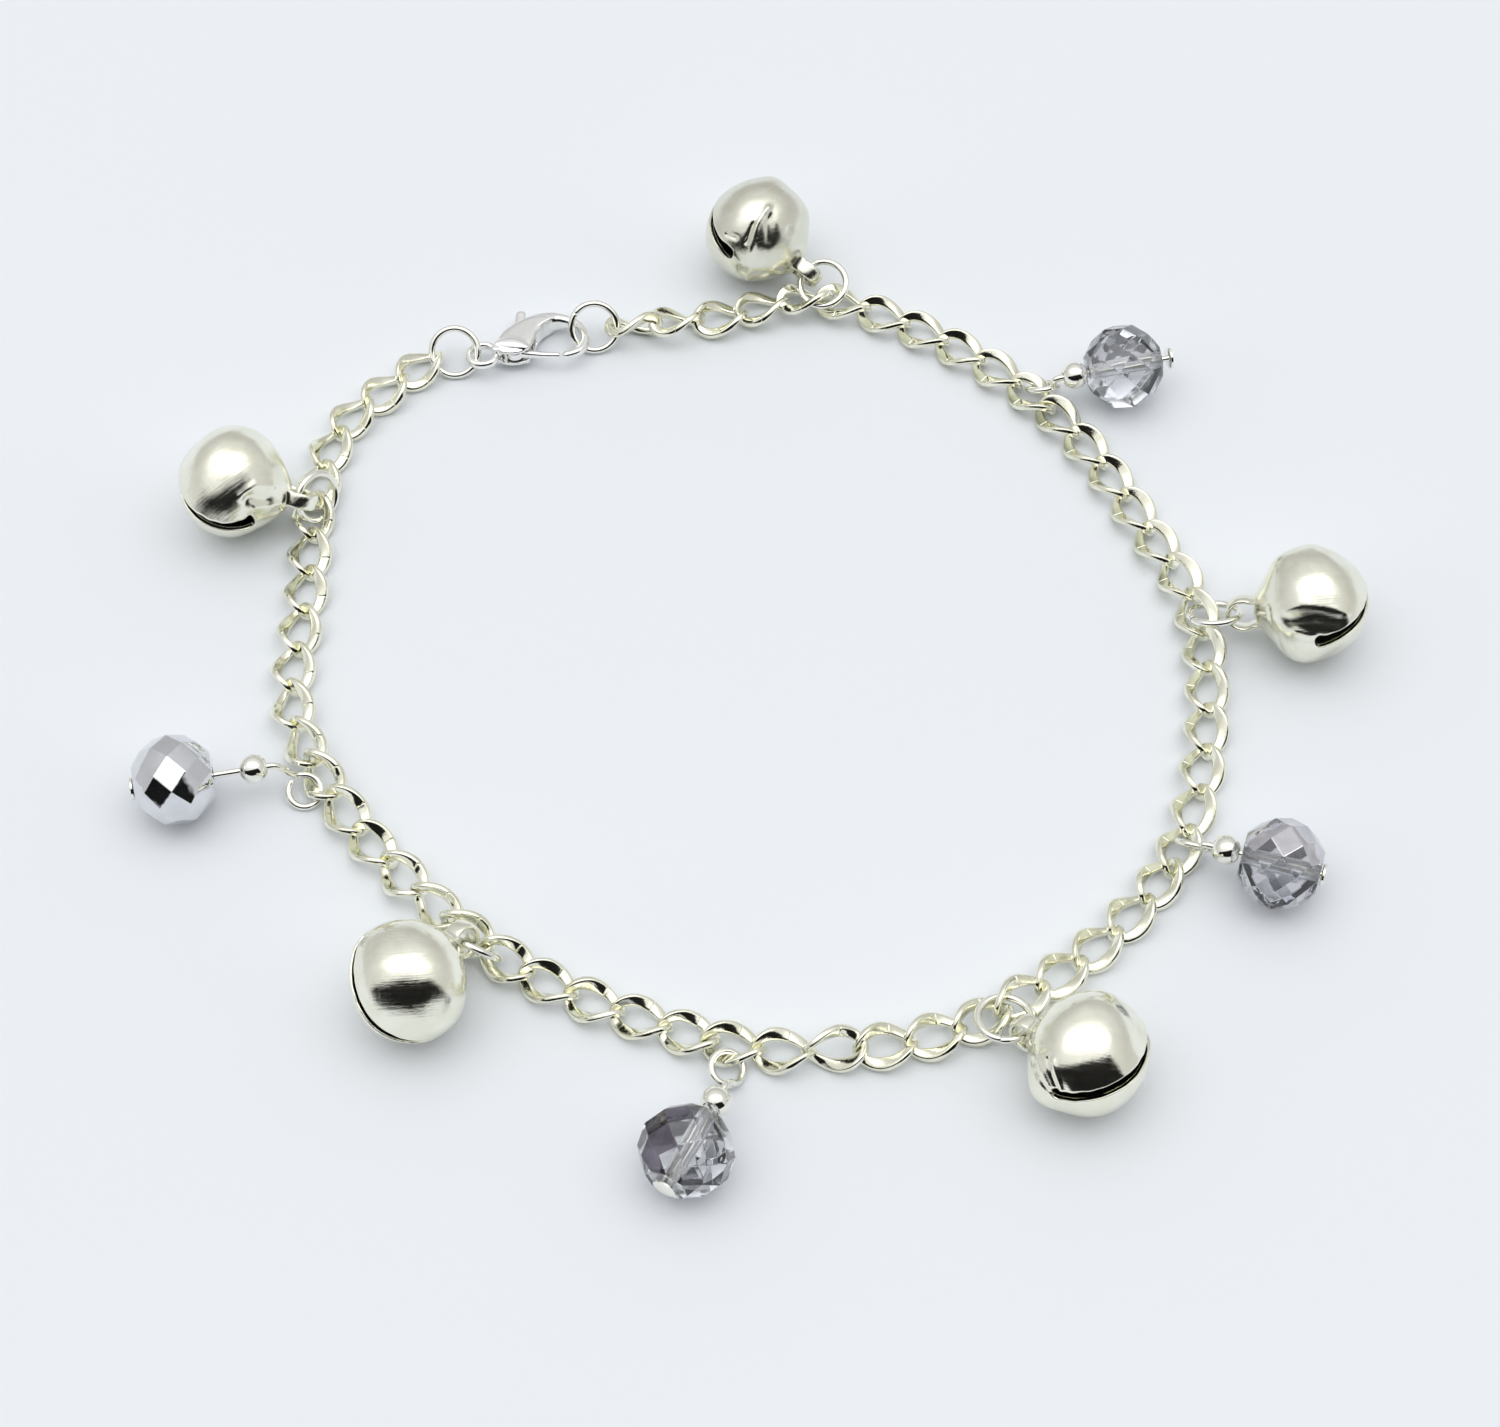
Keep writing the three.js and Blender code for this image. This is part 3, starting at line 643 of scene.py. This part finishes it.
def slot_columns(slot):
    """Longitudes round the slot's plane from the mouth pole, the half gap of the slot at each, and
    how far its lips turn out there."""
    mouth, wide = slot["mouth"], slot["ends"]
    sides = []
    for end in (math.radians(slot["back"]), math.radians(slot["front"])):
        cap = wide / BELL["radius"]
        run = np.linspace(0, end - cap, 62)
        k = np.clip(run / (end - cap), 0, 1)
        opening = mouth + (wide - mouth) * (0.35 * k + 0.65 * k ** 6)
        turn = np.linspace(0, math.pi / 2, 12)[1:]
        closed = np.linspace(end, math.pi, int(round(0.55 * math.degrees(math.pi - end))))[1:]
        sides.append((np.concatenate([run, end - cap + cap * np.sin(turn), closed]),
                      np.concatenate([opening, wide * np.cos(turn), np.zeros(len(closed))]), end))
    (back_run, back_gap, back), (front_run, front_gap, front) = sides

    def joined(backward, forward):
        return np.concatenate([backward[1:][::-1], forward[:-1]])

    longitudes, gaps = joined(-back_run, front_run), joined(back_gap, front_gap)
    gaps[gaps < 1e-6] = 0
    beyond = joined(back_run - back, front_run - front)
    middle = np.clip(-beyond * BELL["radius"] / LIP_FADE, 0, 1)
    return longitudes, gaps, middle * middle * (3 - 2 * middle)


def on_shell(latitude, longitude):
    """Unit direction in a shell's frame: latitude towards +x, longitude from the mouth to +y."""
    return np.stack([np.sin(latitude), np.cos(latitude) * np.sin(longitude),
                     -np.cos(latitude) * np.cos(longitude)], -1)


def distance_to(d, path):
    """Distance in mm over a shell from directions d to a path through directions."""
    best = np.full(len(d), 1e9)
    for a, b in zip(path, path[1:] if len(path) > 1 else path):
        run = b - a
        share = np.clip((d - a) @ run / max(run @ run, 1e-9), 0, 1)
        best = np.minimum(best, np.linalg.norm(d - a - share[:, None] * run, axis=1))
    return best * BELL["radius"]


def bell_relief(d, index):
    """Height in mm of the pressed sheet at unit directions d of a shell: waves, dents and folds, and
    the shoulder drawn up to the bail."""
    rng = np.random.default_rng(100 + index)
    height = np.zeros(len(d))
    for frequency, size in WAVES:
        for _ in range(2):
            height += size * np.sin(d @ unit(rng.normal(size=3)) * frequency * 2 + rng.uniform(0, 6.3))
    for size, width, path in MARKS[index]:
        far = distance_to(d, [on_shell(*np.radians(p)) for p in path])
        height += size * np.exp(-(far / width) ** 2)
    away = np.arccos(np.clip(d[:, 2], -1, 1)) * BELL["radius"]
    return height + SHOULDER["height"] * np.exp(-(away / SHOULDER["width"]) ** 2)


def column(face, columns):
    """Column of a grid that a face starts in, the last column being the one that wraps."""
    across = sorted({k % columns for k in face})
    return across[-1] if across == [0, columns - 1] else across[0]


def bell_shell(index):
    """Pressed shell with a slot, open wider at its ends, its lips rounded and turned out. Also
    which of its faces are on the inner skin and take the near-black painted shade."""
    slot = SLOTS[index - 1]
    longitudes, gaps, flare = slot_columns(slot)
    radius, wall = BELL["radius"], BELL["wall"]
    rng = np.random.default_rng(40 + index)
    waves = rng.uniform(0, 6.3, (2, 5))
    rows, skip = 44, 3  # rows of each skin, and how many the lip's edge takes from the outer one
    grow = (np.arange(rows + 1) / rows) ** 1.3
    edge, side_share = LIP_EDGE, LIP_EDGE / LIP_TO_SIDE
    depths = [wall] * rows + [wall, wall - edge, edge, edge * 0.3, 0.0] + [0.0] * (rows + 1 - skip)
    shares = [*grow[:0:-1], side_share, 0.0, 0.0, edge * 0.3 / LIP_TO_SIDE, side_share, *grow[skip:]]
    depths, shares = np.array(depths)[:, None], np.array(shares)[:, None]
    inside = rows + 2  # rows on the inner skin
    parts, painted_shade_faces = [], []
    for s, side in enumerate((1, -1)):
        ragged = 1 + 0.05 * sum(np.sin((5 * k + 7) * longitudes + waves[s, k]) for k in range(5)) / 2
        gap = np.arcsin(gaps * ragged * slot["share"][s] / radius)
        open_here = np.clip(gaps / 0.12, 0, 1)
        latitude = side * (gap + (np.pi / 2 - gap) * shares)
        d = on_shell(latitude, np.broadcast_to(longitudes, latitude.shape))
        relief = bell_relief(d.reshape(-1, 3), index).reshape(latitude.shape)
        from_slot = np.maximum(np.abs(latitude) - gap, 0) * radius
        lip = slot["flare"][s] * np.exp(-from_slot / 1.1) * flare
        depth = np.where(np.arange(len(depths))[:, None] < inside, depths, depths * open_here)
        points = d * (radius - depth + relief + lip)[..., None]
        points[..., 2] *= BELL["squash"]
        faces = grid_faces(len(depths), len(longitudes), False, True)
        shut = (gaps < 1e-6) & (np.roll(gaps, -1) < 1e-6)
        faces = [f for f in faces if min(f) // len(longitudes) != inside - 1
                 or not shut[column(f, len(longitudes))]]
        parts.append((points.reshape(-1, 3), faces if side > 0 else [f[::-1] for f in faces]))
        # Inner-skin faces, short of the lip's edge, take the painted shade material.
        painted_shade_faces += [int(min(f) // len(longitudes) < inside - 3) for f in faces]
    return merged(*parts), painted_shade_faces


def bail_shape():
    """Strap arched over the crown, its two feet spread out on it and soldered."""
    reach, loop = BAIL["reach"], BAIL["loop"]
    t = np.radians(np.linspace(-32, 212, 44))
    arch = np.stack([loop * np.cos(t), np.zeros_like(t), reach + loop * np.sin(t)], -1)
    feet = smooth_path([arch[0], *FOOT], 14)[1:]
    path = np.vstack([feet[::-1], arch, feet * np.array([-1, 1, 1])])[::-1]
    sides = np.cross(tangents_of(path), [0.0, 1.0, 0.0])
    widths = BAIL["width"] / 2 * (1 + 0.45 * np.clip((5.4 - path[:, 2]) / 1.2, 0, 1))
    shape = ellipse(1, 1, 20, 2.8)
    sections = np.stack([np.outer(np.full(len(path), BAIL["thick"] / 2), shape[:, 0]),
                         np.outer(widths, shape[:, 1])], -1)
    strap = sweep(path, sides, [0.0, 1.0, 0.0], sections)
    points, faces = lathe(MOUND, 28)
    return remeshed([strap, (points[:, [1, 2, 0]], faces)], voxel=0.08, passes=6)


def polish_turn(place, slope):
    """Turns a piece's coordinates so that its polish lines run at a slope, seen from the front."""
    a, tilt = math.radians(slope), math.radians(VIEW_RISE)
    right, rise = np.array([1.0, 0, 0]), np.array([0, math.sin(tilt), math.cos(tilt)])
    across = math.cos(a) * rise - math.sin(a) * right
    along = math.sin(a) * rise + math.cos(a) * right
    turn = np.eye(4)
    turn[:3, :3] = np.array([across, along, np.cross(across, along)]) @ place[:3, :3]
    return turn


def weld(piece, distance):
    """Joins the halves of a shell where they meet, within a distance in mm."""
    made = bmesh.new()
    made.from_mesh(piece.data)
    bmesh.ops.remove_doubles(made, verts=made.verts, dist=distance * MM)
    bmesh.ops.recalc_face_normals(made, faces=made.faces)
    made.to_mesh(piece.data)
    made.free()
    piece.data.polygons.foreach_set("use_smooth", [True] * len(piece.data.polygons))


def add_rattle(index, centre):
    """Loose steel ball, slightly out of round, low in its bell."""
    made = bmesh.new()
    bmesh.ops.create_icosphere(made, subdivisions=4, radius=RATTLE["radius"])
    shift = Vector((index * 7.0, 0, 0))
    for v in made.verts:
        v.co *= 1 + 0.03 * noise.noise(v.co * 0.9 + shift)
    points, faces = lists_of(made)
    made.free()
    height = BELL["wall"] + RATTLE["radius"] + RATTLE["gap"]
    add_piece(f"steel_ball_{index}", points, faces, basis(*np.eye(3), (*centre[:2], height)),
              "rattle_steel", f"rattle_{index}", [LOOKS["steel"]], sharp=None)


def add_bells():
    bail = bail_shape()
    for index, fitting in enumerate(BELLS, 1):
        ring, place = bell_frames(fitting)
        (points, faces), painted_shade_faces = bell_shell(index)
        shell = (placed(turned("Z", fitting["turn"]), points), faces)
        piece = add_piece(f"bell_shell_{index}", *merged(shell, bail), place, "silver_bell",
                          f"bell_{index}", [LOOKS[f"bell_{index}"], LOOKS["inside"]], sharp=70,
                          face_materials=painted_shade_faces + [0] * len(bail[1]),
                          local_turn=polish_turn(place, SLOTS[index - 1]["polish"]))
        weld(piece, 0.003)
        add_ring(f"jump_ring_{index}", f"bell_ring_{index}", ring, SEAMS[index - 1])
        add_rattle(index, place[:3, 3])


# ---- crystals on head pins ----
SINK = {"deep": 0.12, "narrower": 0.08}  # the drilled hole's broken rim, in mm
BROKEN_EDGE = 0.045  # width of a crystal's edges, in mm
LOOP_TURN = 0.885  # how much of a full turn a pin's loop makes
# A head nearer than this to its bead's middle is drawn up flush with it, in mm.
NEAR_HEAD, FLUSH_HEAD = 4, 3.42


def crystal_shape():
    """Faceted rondelle about local x, drilled through, its edges just broken. Also the normal of
    each face, and whether it is in the hole."""
    radius, half, belt, shoulder, sides, drill = CRYSTAL.values()
    c = math.cos(math.pi / sides)
    belt_radius = radius * c
    shoulder_radius = radius + (belt_radius * c - radius) * shoulder / belt
    table_radius = belt_radius + (shoulder_radius * c - belt_radius) * (half - belt) / (shoulder - belt)
    step = 4  # sides of the hole to each side of the bead
    made = bmesh.new()
    face = made.faces.new

    def row(x, r, offset=0, count=sides):
        a = 2 * np.pi * (np.arange(count) + offset) / count
        return [made.verts.new((x, r * math.sin(t), r * math.cos(t))) for t in a]

    def band(a, b):
        for i in range(len(a)):
            j = (i + 1) % len(a)
            face((a[i], a[j], b[j], b[i]))

    def from_axis(v):
        return math.hypot(v.co.y, v.co.z)

    girdle = row(0, radius, 0.5)
    ends = []
    for end in (-1, 1):
        belts = row(end * belt, belt_radius)
        shoulders = row(end * shoulder, shoulder_radius, 0.5)
        tables = row(end * half, table_radius)
        bore = row(end * half, drill, 0, sides * step)
        sink = row(end * (half - SINK["deep"]), drill - SINK["narrower"], 0, sides * step)
        for i in range(sides):
            j = (i + 1) % sides
            face((girdle[i], belts[i], shoulders[i], belts[j]))
            face((belts[j], shoulders[i], tables[j], shoulders[j]))
            face((shoulders[i], tables[i], tables[j]))
            near = [bore[(i * step + k) % len(bore)] for k in range(step + 1)]
            face((tables[i], tables[j], *reversed(near)))
        band(bore, sink)
        ends.append((belts, sink))
    (left, left_sink), (right, right_sink) = ends
    for i in range(sides):
        face((girdle[i - 1], left[i], girdle[i], right[i]))
    band(left_sink, right_sink)
    bmesh.ops.recalc_face_normals(made, faces=made.faces)
    edges = [e for e in made.edges if len(e.link_faces) == 2
             and min(from_axis(v) for v in e.verts) > 1 and e.calc_face_angle() > 0.1]
    bmesh.ops.bevel(made, geom=edges, offset=BROKEN_EDGE, segments=1, affect="EDGES", profile=0.5)
    points, faces = lists_of(made)
    normals = np.array([f.normal for f in made.faces])
    inside = np.array([max(from_axis(v) for v in f.verts) < drill + 0.2 for f in made.faces])
    made.free()
    return points, faces, normals, inside


def spacer_shape():
    """Ball drilled through, with the rim of the hole just rounded over."""
    r, drill = SPACER["radius"], SPACER["drill"]
    start = math.asin((drill + 0.1) / r)
    t = np.linspace(start, math.pi - start, 30)
    outer = [(-r * math.cos(a), r * math.sin(a)) for a in t]
    end = r * math.cos(start)
    rim = [(end - 0.02, drill + 0.03), (end - 0.1, drill)]
    return lathe([(-x, y) for x, y in reversed(rim)] + outer + rim, 40, closed=True)


def pin_shape(fitting):
    """Head pin in the row frame: one wire from its flat head, through the bead and ball, round into
    a loop that stops just short of closing. Also the frames of the ball and the bead."""
    away, across = loop_axes(fitting, 0)
    dip = math.radians(fitting["dip"])
    centre = hold_point(fitting) + PIN["loop"] * (away * math.cos(dip) + across * math.sin(dip))
    top = centre + across * PIN["loop"]
    rest = CRYSTAL["radius"] * math.cos(math.pi / CRYSTAL["sides"])
    ball = np.array([top[0], top[1], rest]) + away * fitting["ball"]
    end = fitting["bead"] + (fitting["head"] if fitting["head"] > NEAR_HEAD else FLUSH_HEAD)
    clear = SPACER["radius"] + 0.1
    neck_start = ball - away * clear
    control = [neck_start, neck_start - away * PIN["bend"], top + away * PIN["bend"], top]
    t = np.linspace(0, 1, 26)[:, None]
    neck = ((1 - t) ** 3 * control[0] + 3 * (1 - t) ** 2 * t * control[1]
            + 3 * (1 - t) * t ** 2 * control[2] + t ** 3 * control[3])
    straight = ball + away * np.linspace(end + 0.1, -clear, 12, endpoint=False)[:, None]
    turn = np.linspace(0, 2 * math.pi * LOOP_TURN, 60)[1:, None]
    loop = centre + PIN["loop"] * (across * np.cos(turn) - away * np.sin(turn))
    path = np.vstack([straight, neck, loop])
    sides, ups = path_frames(path, UP)
    sizes = np.ones(len(path))
    sizes[-1] = 0.85
    wire = sweep(path, sides, ups, sizes[:, None, None] * ellipse(PIN["wire"] / 2, PIN["wire"] / 2, 14))
    r, thick = PIN["head"], PIN["head_thick"]
    head = lathe([(end + x, y) for x, y in (
        (0, 0.25), (0.02, r - 0.1), (0.08, r), (thick - 0.1, r), (thick - 0.02, r - 0.12),
        (thick, r * 0.5), (thick + 0.02, 0.05))], 36)
    ball_frame = level_frame(ball, away)
    bead_frame = level_frame(ball + away * fitting["bead"], away)
    return merged(wire, (placed(ball_frame, head[0]), head[1])), ball_frame, bead_frame


# Each crystal's coated bands (middle and half width, from its top round to the side, and the look),
# its roll on the pin, in degrees, and how far the roll lifts it, in mm.
COATING = table(
    "bands roll lift",
    (((0, 190, "mirror_coat"),), 20, 0.3),
    (((165, 62, "bright_coat"), (-30, 27, "purple_coat")), 0, 0),
    (((65, 80, "lilac_coat"),), 0, 0),
    (((160, 60, "bright_coat"),), 0, 0),
)


def add_pins():
    crystal, faces, normals, inside = crystal_shape()
    spacer = spacer_shape()
    for index, fitting in enumerate(PINS, 1):
        wire, ball_frame, bead_frame = pin_shape(fitting)
        add_piece(f"head_pin_{index}", *wire, np.eye(4), "silver_pin", f"headpin_{index}",
                  [LOOKS["pin"]])
        add_piece(f"ball_{index}", *spacer, ball_frame, "silver_pin", f"spacer_{index}", [LOOKS["pin"]])
        coating = COATING[index - 1]
        round_bore = np.degrees(np.arctan2(normals[:, 1], normals[:, 2]))
        looks = np.where(inside, 1, 0)
        for number, (middle, half, _) in enumerate(coating["bands"], 2):
            away = np.abs((round_bore - middle + 180) % 360 - 180)
            looks = np.where((away < half) & ~inside, number, looks)
        bead_frame = bead_frame @ turned("X", coating["roll"])
        bead_frame[2, 3] += coating["lift"]
        names = ["clear", "drilled"] + [look for _, _, look in coating["bands"]]
        add_piece(f"rondelle_{index}", crystal, faces, bead_frame, "grey_glass", f"crystal_{index}",
                  [LOOKS[name] for name in names], sharp=14, face_materials=looks)


# ---- clasp ----
def prism(outline, low, high):
    """Flat plate from an outline of (x, y) corners, between two heights."""
    n = len(outline)
    points = [(x, y, z) for z in (low, high) for x, y in outline]
    faces = [[i, (i + 1) % n, n + (i + 1) % n, n + i] for i in range(n)]
    return np.array(points, float), outward(points, faces + end_caps(2, n))


def bar(stations, steps=60):
    """Rounded bar in the clasp's plane through stations of x, y, half width and half thickness."""
    line = smooth_path([(x, y, 0, w, t) for x, y, w, t in stations], steps)
    path = line[:, :3]
    sides = np.cross(UP, tangents_of(path))
    from_end = np.minimum(np.arange(steps), steps - 1 - np.arange(steps))
    rounded = np.minimum(1, np.sqrt(np.maximum(0.05, 1 - (1 - from_end / 3.0).clip(0) ** 2)))
    sections = ellipse(1, 1, 20, 2.4)[None] * (line[:, 3:5] * rounded[:, None])[:, None, :]
    return sweep(path, sides, UP, sections)


def drum(radius, low, high, dome=0.0):
    """Upright round bar about the pivot; dome raises the middle of both ends."""
    profile = [(low - dome, radius * 0.35), (low - dome * 0.8, radius * 0.65), (low, radius),
               (high, radius), (high + dome * 0.8, radius * 0.65), (high + dome, radius * 0.35)]
    points, faces = lathe(profile, 28)
    return points[:, [1, 2, 0]], faces


# The clasp in its own frame: outlines of its body and of the web in it, bars of the hook, gate and
# thumb tab, the middle of the raised lobe, and the eye.
BODY = (
    (-1.8, 0.35), (-1.45, 1.2), (-0.95, 1.95), (-0.3, 2.6), (0.6, 3.2), (1.6, 3.7), (2.7, 4.02),
    (3.6, 4.05), (4.3, 3.9), (4.2, 3.3), (3.6, 2.9), (3.0, 2.5), (2.45, 1.9), (2.1, 1.15), (1.8, 0.35),
    (1.4, -0.35), (0.9, -0.8), (0.1, -1.0), (-0.9, -0.85), (-1.6, -0.35),
)
WEB = (
    (1.5, 1.6), (2.2, 1.5), (3.0, 2.5), (3.8, 2.95), (4.3, 3.3), (4.3, 3.75), (3.6, 3.9),
    (2.7, 3.85), (2.0, 3.6),
)
ARM = (
    (2.7, 3.2, 0.6, 1.0), (3.5, 3.45, 0.7, 1.0), (4.4, 3.52, 0.64, 0.86), (5.2, 3.35, 0.55, 0.66),
    (5.9, 2.95, 0.48, 0.52), (6.4, 2.3, 0.45, 0.45), (6.72, 1.4, 0.43, 0.44),
    (6.72, 0.5, 0.42, 0.43), (6.42, -0.3, 0.42, 0.43), (5.85, -0.85, 0.42, 0.44),
    (5.1, -1.14, 0.4, 0.42), (4.3, -1.2, 0.37, 0.38),
)
GATE = ((-0.1, -0.05, 0.45, 0.42), (0.8, -0.35, 0.36, 0.4), (2.2, -0.76, 0.31, 0.34),
        (3.4, -1.02, 0.29, 0.32), (4.2, -1.14, 0.29, 0.31))
TAB = ((0.0, 0.1, 0.55, 0.42), (0.25, 1.6, 0.5, 0.42), (0.55, 3.0, 0.48, 0.4), (0.85, 4.2, 0.54, 0.42),
       (1.0, 4.8, 0.56, 0.46), (1.1, 5.25, 0.42, 0.4))
LOBE = ((-1.85, 0.5), (-0.9, 0.4), (0.1, 0.1), (1.3, -0.6))
EYE = {"radius": 1.35, "wire": 0.7, "reach": 3.05}


def cheek(side):
    """One side of the clasp's body, domed in thin layers that smooth together, with a raised lobe
    over the pivot; side is 1 or -1."""
    outline = smooth_path([(x, y, 0) for x, y in BODY + BODY[:1]], 90)[:-1, :2]
    layers = ((1.0, 0.82), (0.965, 0.9), (0.91, 0.97), (0.82, 1.02), (0.68, 1.05))
    middle = np.mean(outline, axis=0)
    plates = [prism(middle + f * (outline - middle), *sorted((side * 0.58, side * top)))
              for f, top in layers]
    path = smooth_path([(x, y, side * 0.92) for x, y in LOBE], 36)
    size = np.sin(np.linspace(0.1, math.pi - 0.1, 36))[:, None, None] ** 0.8
    lobe = sweep(path, np.cross(UP, tangents_of(path)), UP, size * ellipse(0.78, 0.46, 24))
    return [*plates, lobe]


def pivot_tube(inner, outer, half):
    """Short tube about the pivot."""
    spokes = circle(turns(40))
    middle, thick = (inner + outer) / 2, (outer - inner) / 2
    return sweep(spokes * middle, spokes, UP, ellipse(thick, half, 16, 4.0), closed=True)


def add_clasp():
    """Claw, lever and the two rings of the clasp."""
    place = basis(*np.eye(3), CLASP["place"]) @ turned("Z", CLASP["heading"])
    place = place @ turned("X", CLASP["roll"])
    spokes = circle(turns(60))
    eye = sweep(spokes * EYE["radius"] - np.array([EYE["reach"], 0, 0]), spokes, UP,
                ellipse(EYE["wire"] / 2, EYE["wire"] / 2 + 0.06, 16), closed=True)
    points, faces = drum(0.56, -0.86, 0.86, 0.1)
    neck = (points + np.array([-1.62, 0.08, 0]), faces)
    pivot = drum(0.25, -1.0, 1.0)
    body = remeshed([*cheek(1), *cheek(-1), prism(WEB, -0.8, 0.8), bar(ARM), eye, neck, pivot],
                    voxel=0.065, passes=7)
    add_piece("clasp_claw", *body, place, "silver_clasp", "clasp_body", [LOOKS["clasp"]], sharp=None)
    lever = remeshed([bar(GATE), bar(TAB), pivot_tube(0.5, 0.85, 0.42)], voxel=0.055, passes=5)
    add_piece("clasp_trigger", *lever, place, "silver_clasp", "clasp_lever", [LOOKS["clasp"]],
              body="lever", sharp=None)
    for ring in CLASP_RINGS:
        along = direction(ring["heading"])
        up = np.cross(along, direction(ring["heading"] + 90, ring["tilt"]))
        place = basis(along, np.cross(up, along), up, ring["place"])
        add_ring(f"clasp_jump_ring_{ring['name']}", f"clasp_ring_{ring['name']}", place,
                 ring["seam"])


# ---- surroundings ----
# The tent's panel overhead, across and along, and its opening at the front, across: low edge, high
# edge and blur, as slopes of a ray.
PANEL_ACROSS, PANEL_ALONG, OPENING_ACROSS = (-0.8, 0.8, 0.6), (-0.28, 0.34, 0.34), (-1.9, 2.0, 0.12)
# Slope and height of the opening's top edge, its share of darkness, and the panel's glow.
OPENING_TOP, OPENING_DARK, PANEL_GLOW = (0.32, 1.2), 0.985, 1.3


def add_floor():
    """Pale paper a hair below the part, sized in metres."""
    material, n = new_material("paper")
    spot = n.add("ShaderNodeTexCoord").outputs["Object"]
    tone = n.mix(n.between(n.noise(spot, 6.0, 2.0), 0.3, 0.7), (0.875, 0.91, 0.95),
                 (0.887, 0.922, 0.962))
    bump = n.bump(n.noise(spot, 2500.0, 3.0), 0.00003, strength=0.3)
    n.surface({"Base Color": tone, "Roughness": 0.75, "Specular IOR Level": 0.25, "Normal": bump})
    half, level = 6.0, -0.00003
    mesh = mesh_of([(x * half, y * half, level) for x, y in ((-1, -1), (1, -1), (1, 1), (-1, 1))],
                   [(0, 1, 2, 3)])
    mesh.materials.append(material)
    floor = object_of("floor", mesh)


def add_world():
    """White light tent with a bright panel overhead and a dark opening at the front. The camera
    sees a plain backdrop instead."""
    world = bpy.data.worlds.new("tent")
    bpy.context.scene.world = world
    world.use_nodes = True
    n = Nodes(world.node_tree)
    ray = n.add("ShaderNodeTexCoord").outputs["Generated"]
    x, y, z = n.add("ShaderNodeSeparateXYZ", {0: ray}).outputs
    tall = n.maths("MAXIMUM", z, 0.02)
    deep = n.maths("MAXIMUM", n.maths("MULTIPLY", y, -1.0), 0.02)

    def window(value, low, high, blur):
        return n.maths("MULTIPLY", n.between(value, low - blur, low + blur, smooth=True),
                       n.between(value, high - blur, high + blur, 1.0, 0.0, smooth=True))

    panel = n.maths("MULTIPLY", window(n.maths("DIVIDE", x, tall), *PANEL_ACROSS),
                    window(n.maths("DIVIDE", y, tall), *PANEL_ALONG))
    panel = n.maths("MULTIPLY", panel, n.between(z, 0.05, 0.2))
    across = n.maths("DIVIDE", x, deep)
    top = n.maths("MULTIPLY_ADD", across, *OPENING_TOP)
    height = n.maths("SUBTRACT", n.maths("DIVIDE", z, deep), top)
    opening = n.maths("MULTIPLY", window(across, *OPENING_ACROSS),
                      n.between(height, -0.07, 0.07, 1.0, 0.0, smooth=True))
    opening = n.maths("MULTIPLY", opening, n.between(y, -0.1, -0.2))
    opening = n.maths("MULTIPLY", opening, n.between(z, 0.0, 0.03))
    walls = n.maths("ADD", n.between(y, -0.6, 1.0, 0.7, 0.55),
                    n.between(z, 0.2, 0.85, 0.0, 0.25, smooth=True))
    open_share = n.maths("SUBTRACT", 1.0, n.maths("MULTIPLY", opening, OPENING_DARK))
    glow = n.maths("MULTIPLY_ADD", panel, PANEL_GLOW, n.maths("MULTIPLY", walls, open_share))
    tent = n.add("ShaderNodeBackground", {"Color": (1.0, 1.0, 1.0, 1.0), "Strength": glow})
    plain = n.add("ShaderNodeBackground", {"Color": (0.84, 0.875, 0.915, 1.0), "Strength": 1.0})
    seen = n.add("ShaderNodeLightPath").outputs["Is Camera Ray"]
    both = n.add("ShaderNodeMixShader", {0: seen, 1: tent.outputs[0], 2: plain.outputs[0]})
    n.add("ShaderNodeOutputWorld", {"Surface": both.outputs[0]})


def add_camera():
    """Camera that looks down at the part from the front, placed in metres."""
    data = bpy.data.cameras.new("camera")
    data.lens, data.sensor_width = 73.5, 36.0
    data.clip_start, data.clip_end = 0.01, 20.0
    camera = object_of("camera", data)
    camera.location = (0.0, -0.14996, 0.22476)
    camera.rotation_euler = (math.radians(90 - VIEW_RISE), 0.0, 0.0)
    bpy.context.scene.camera = camera


add_camera()
add_world()
add_floor()
add_chain()
add_bells()
add_pins()
add_clasp()
bpy.context.scene.view_settings.view_transform = "Standard"
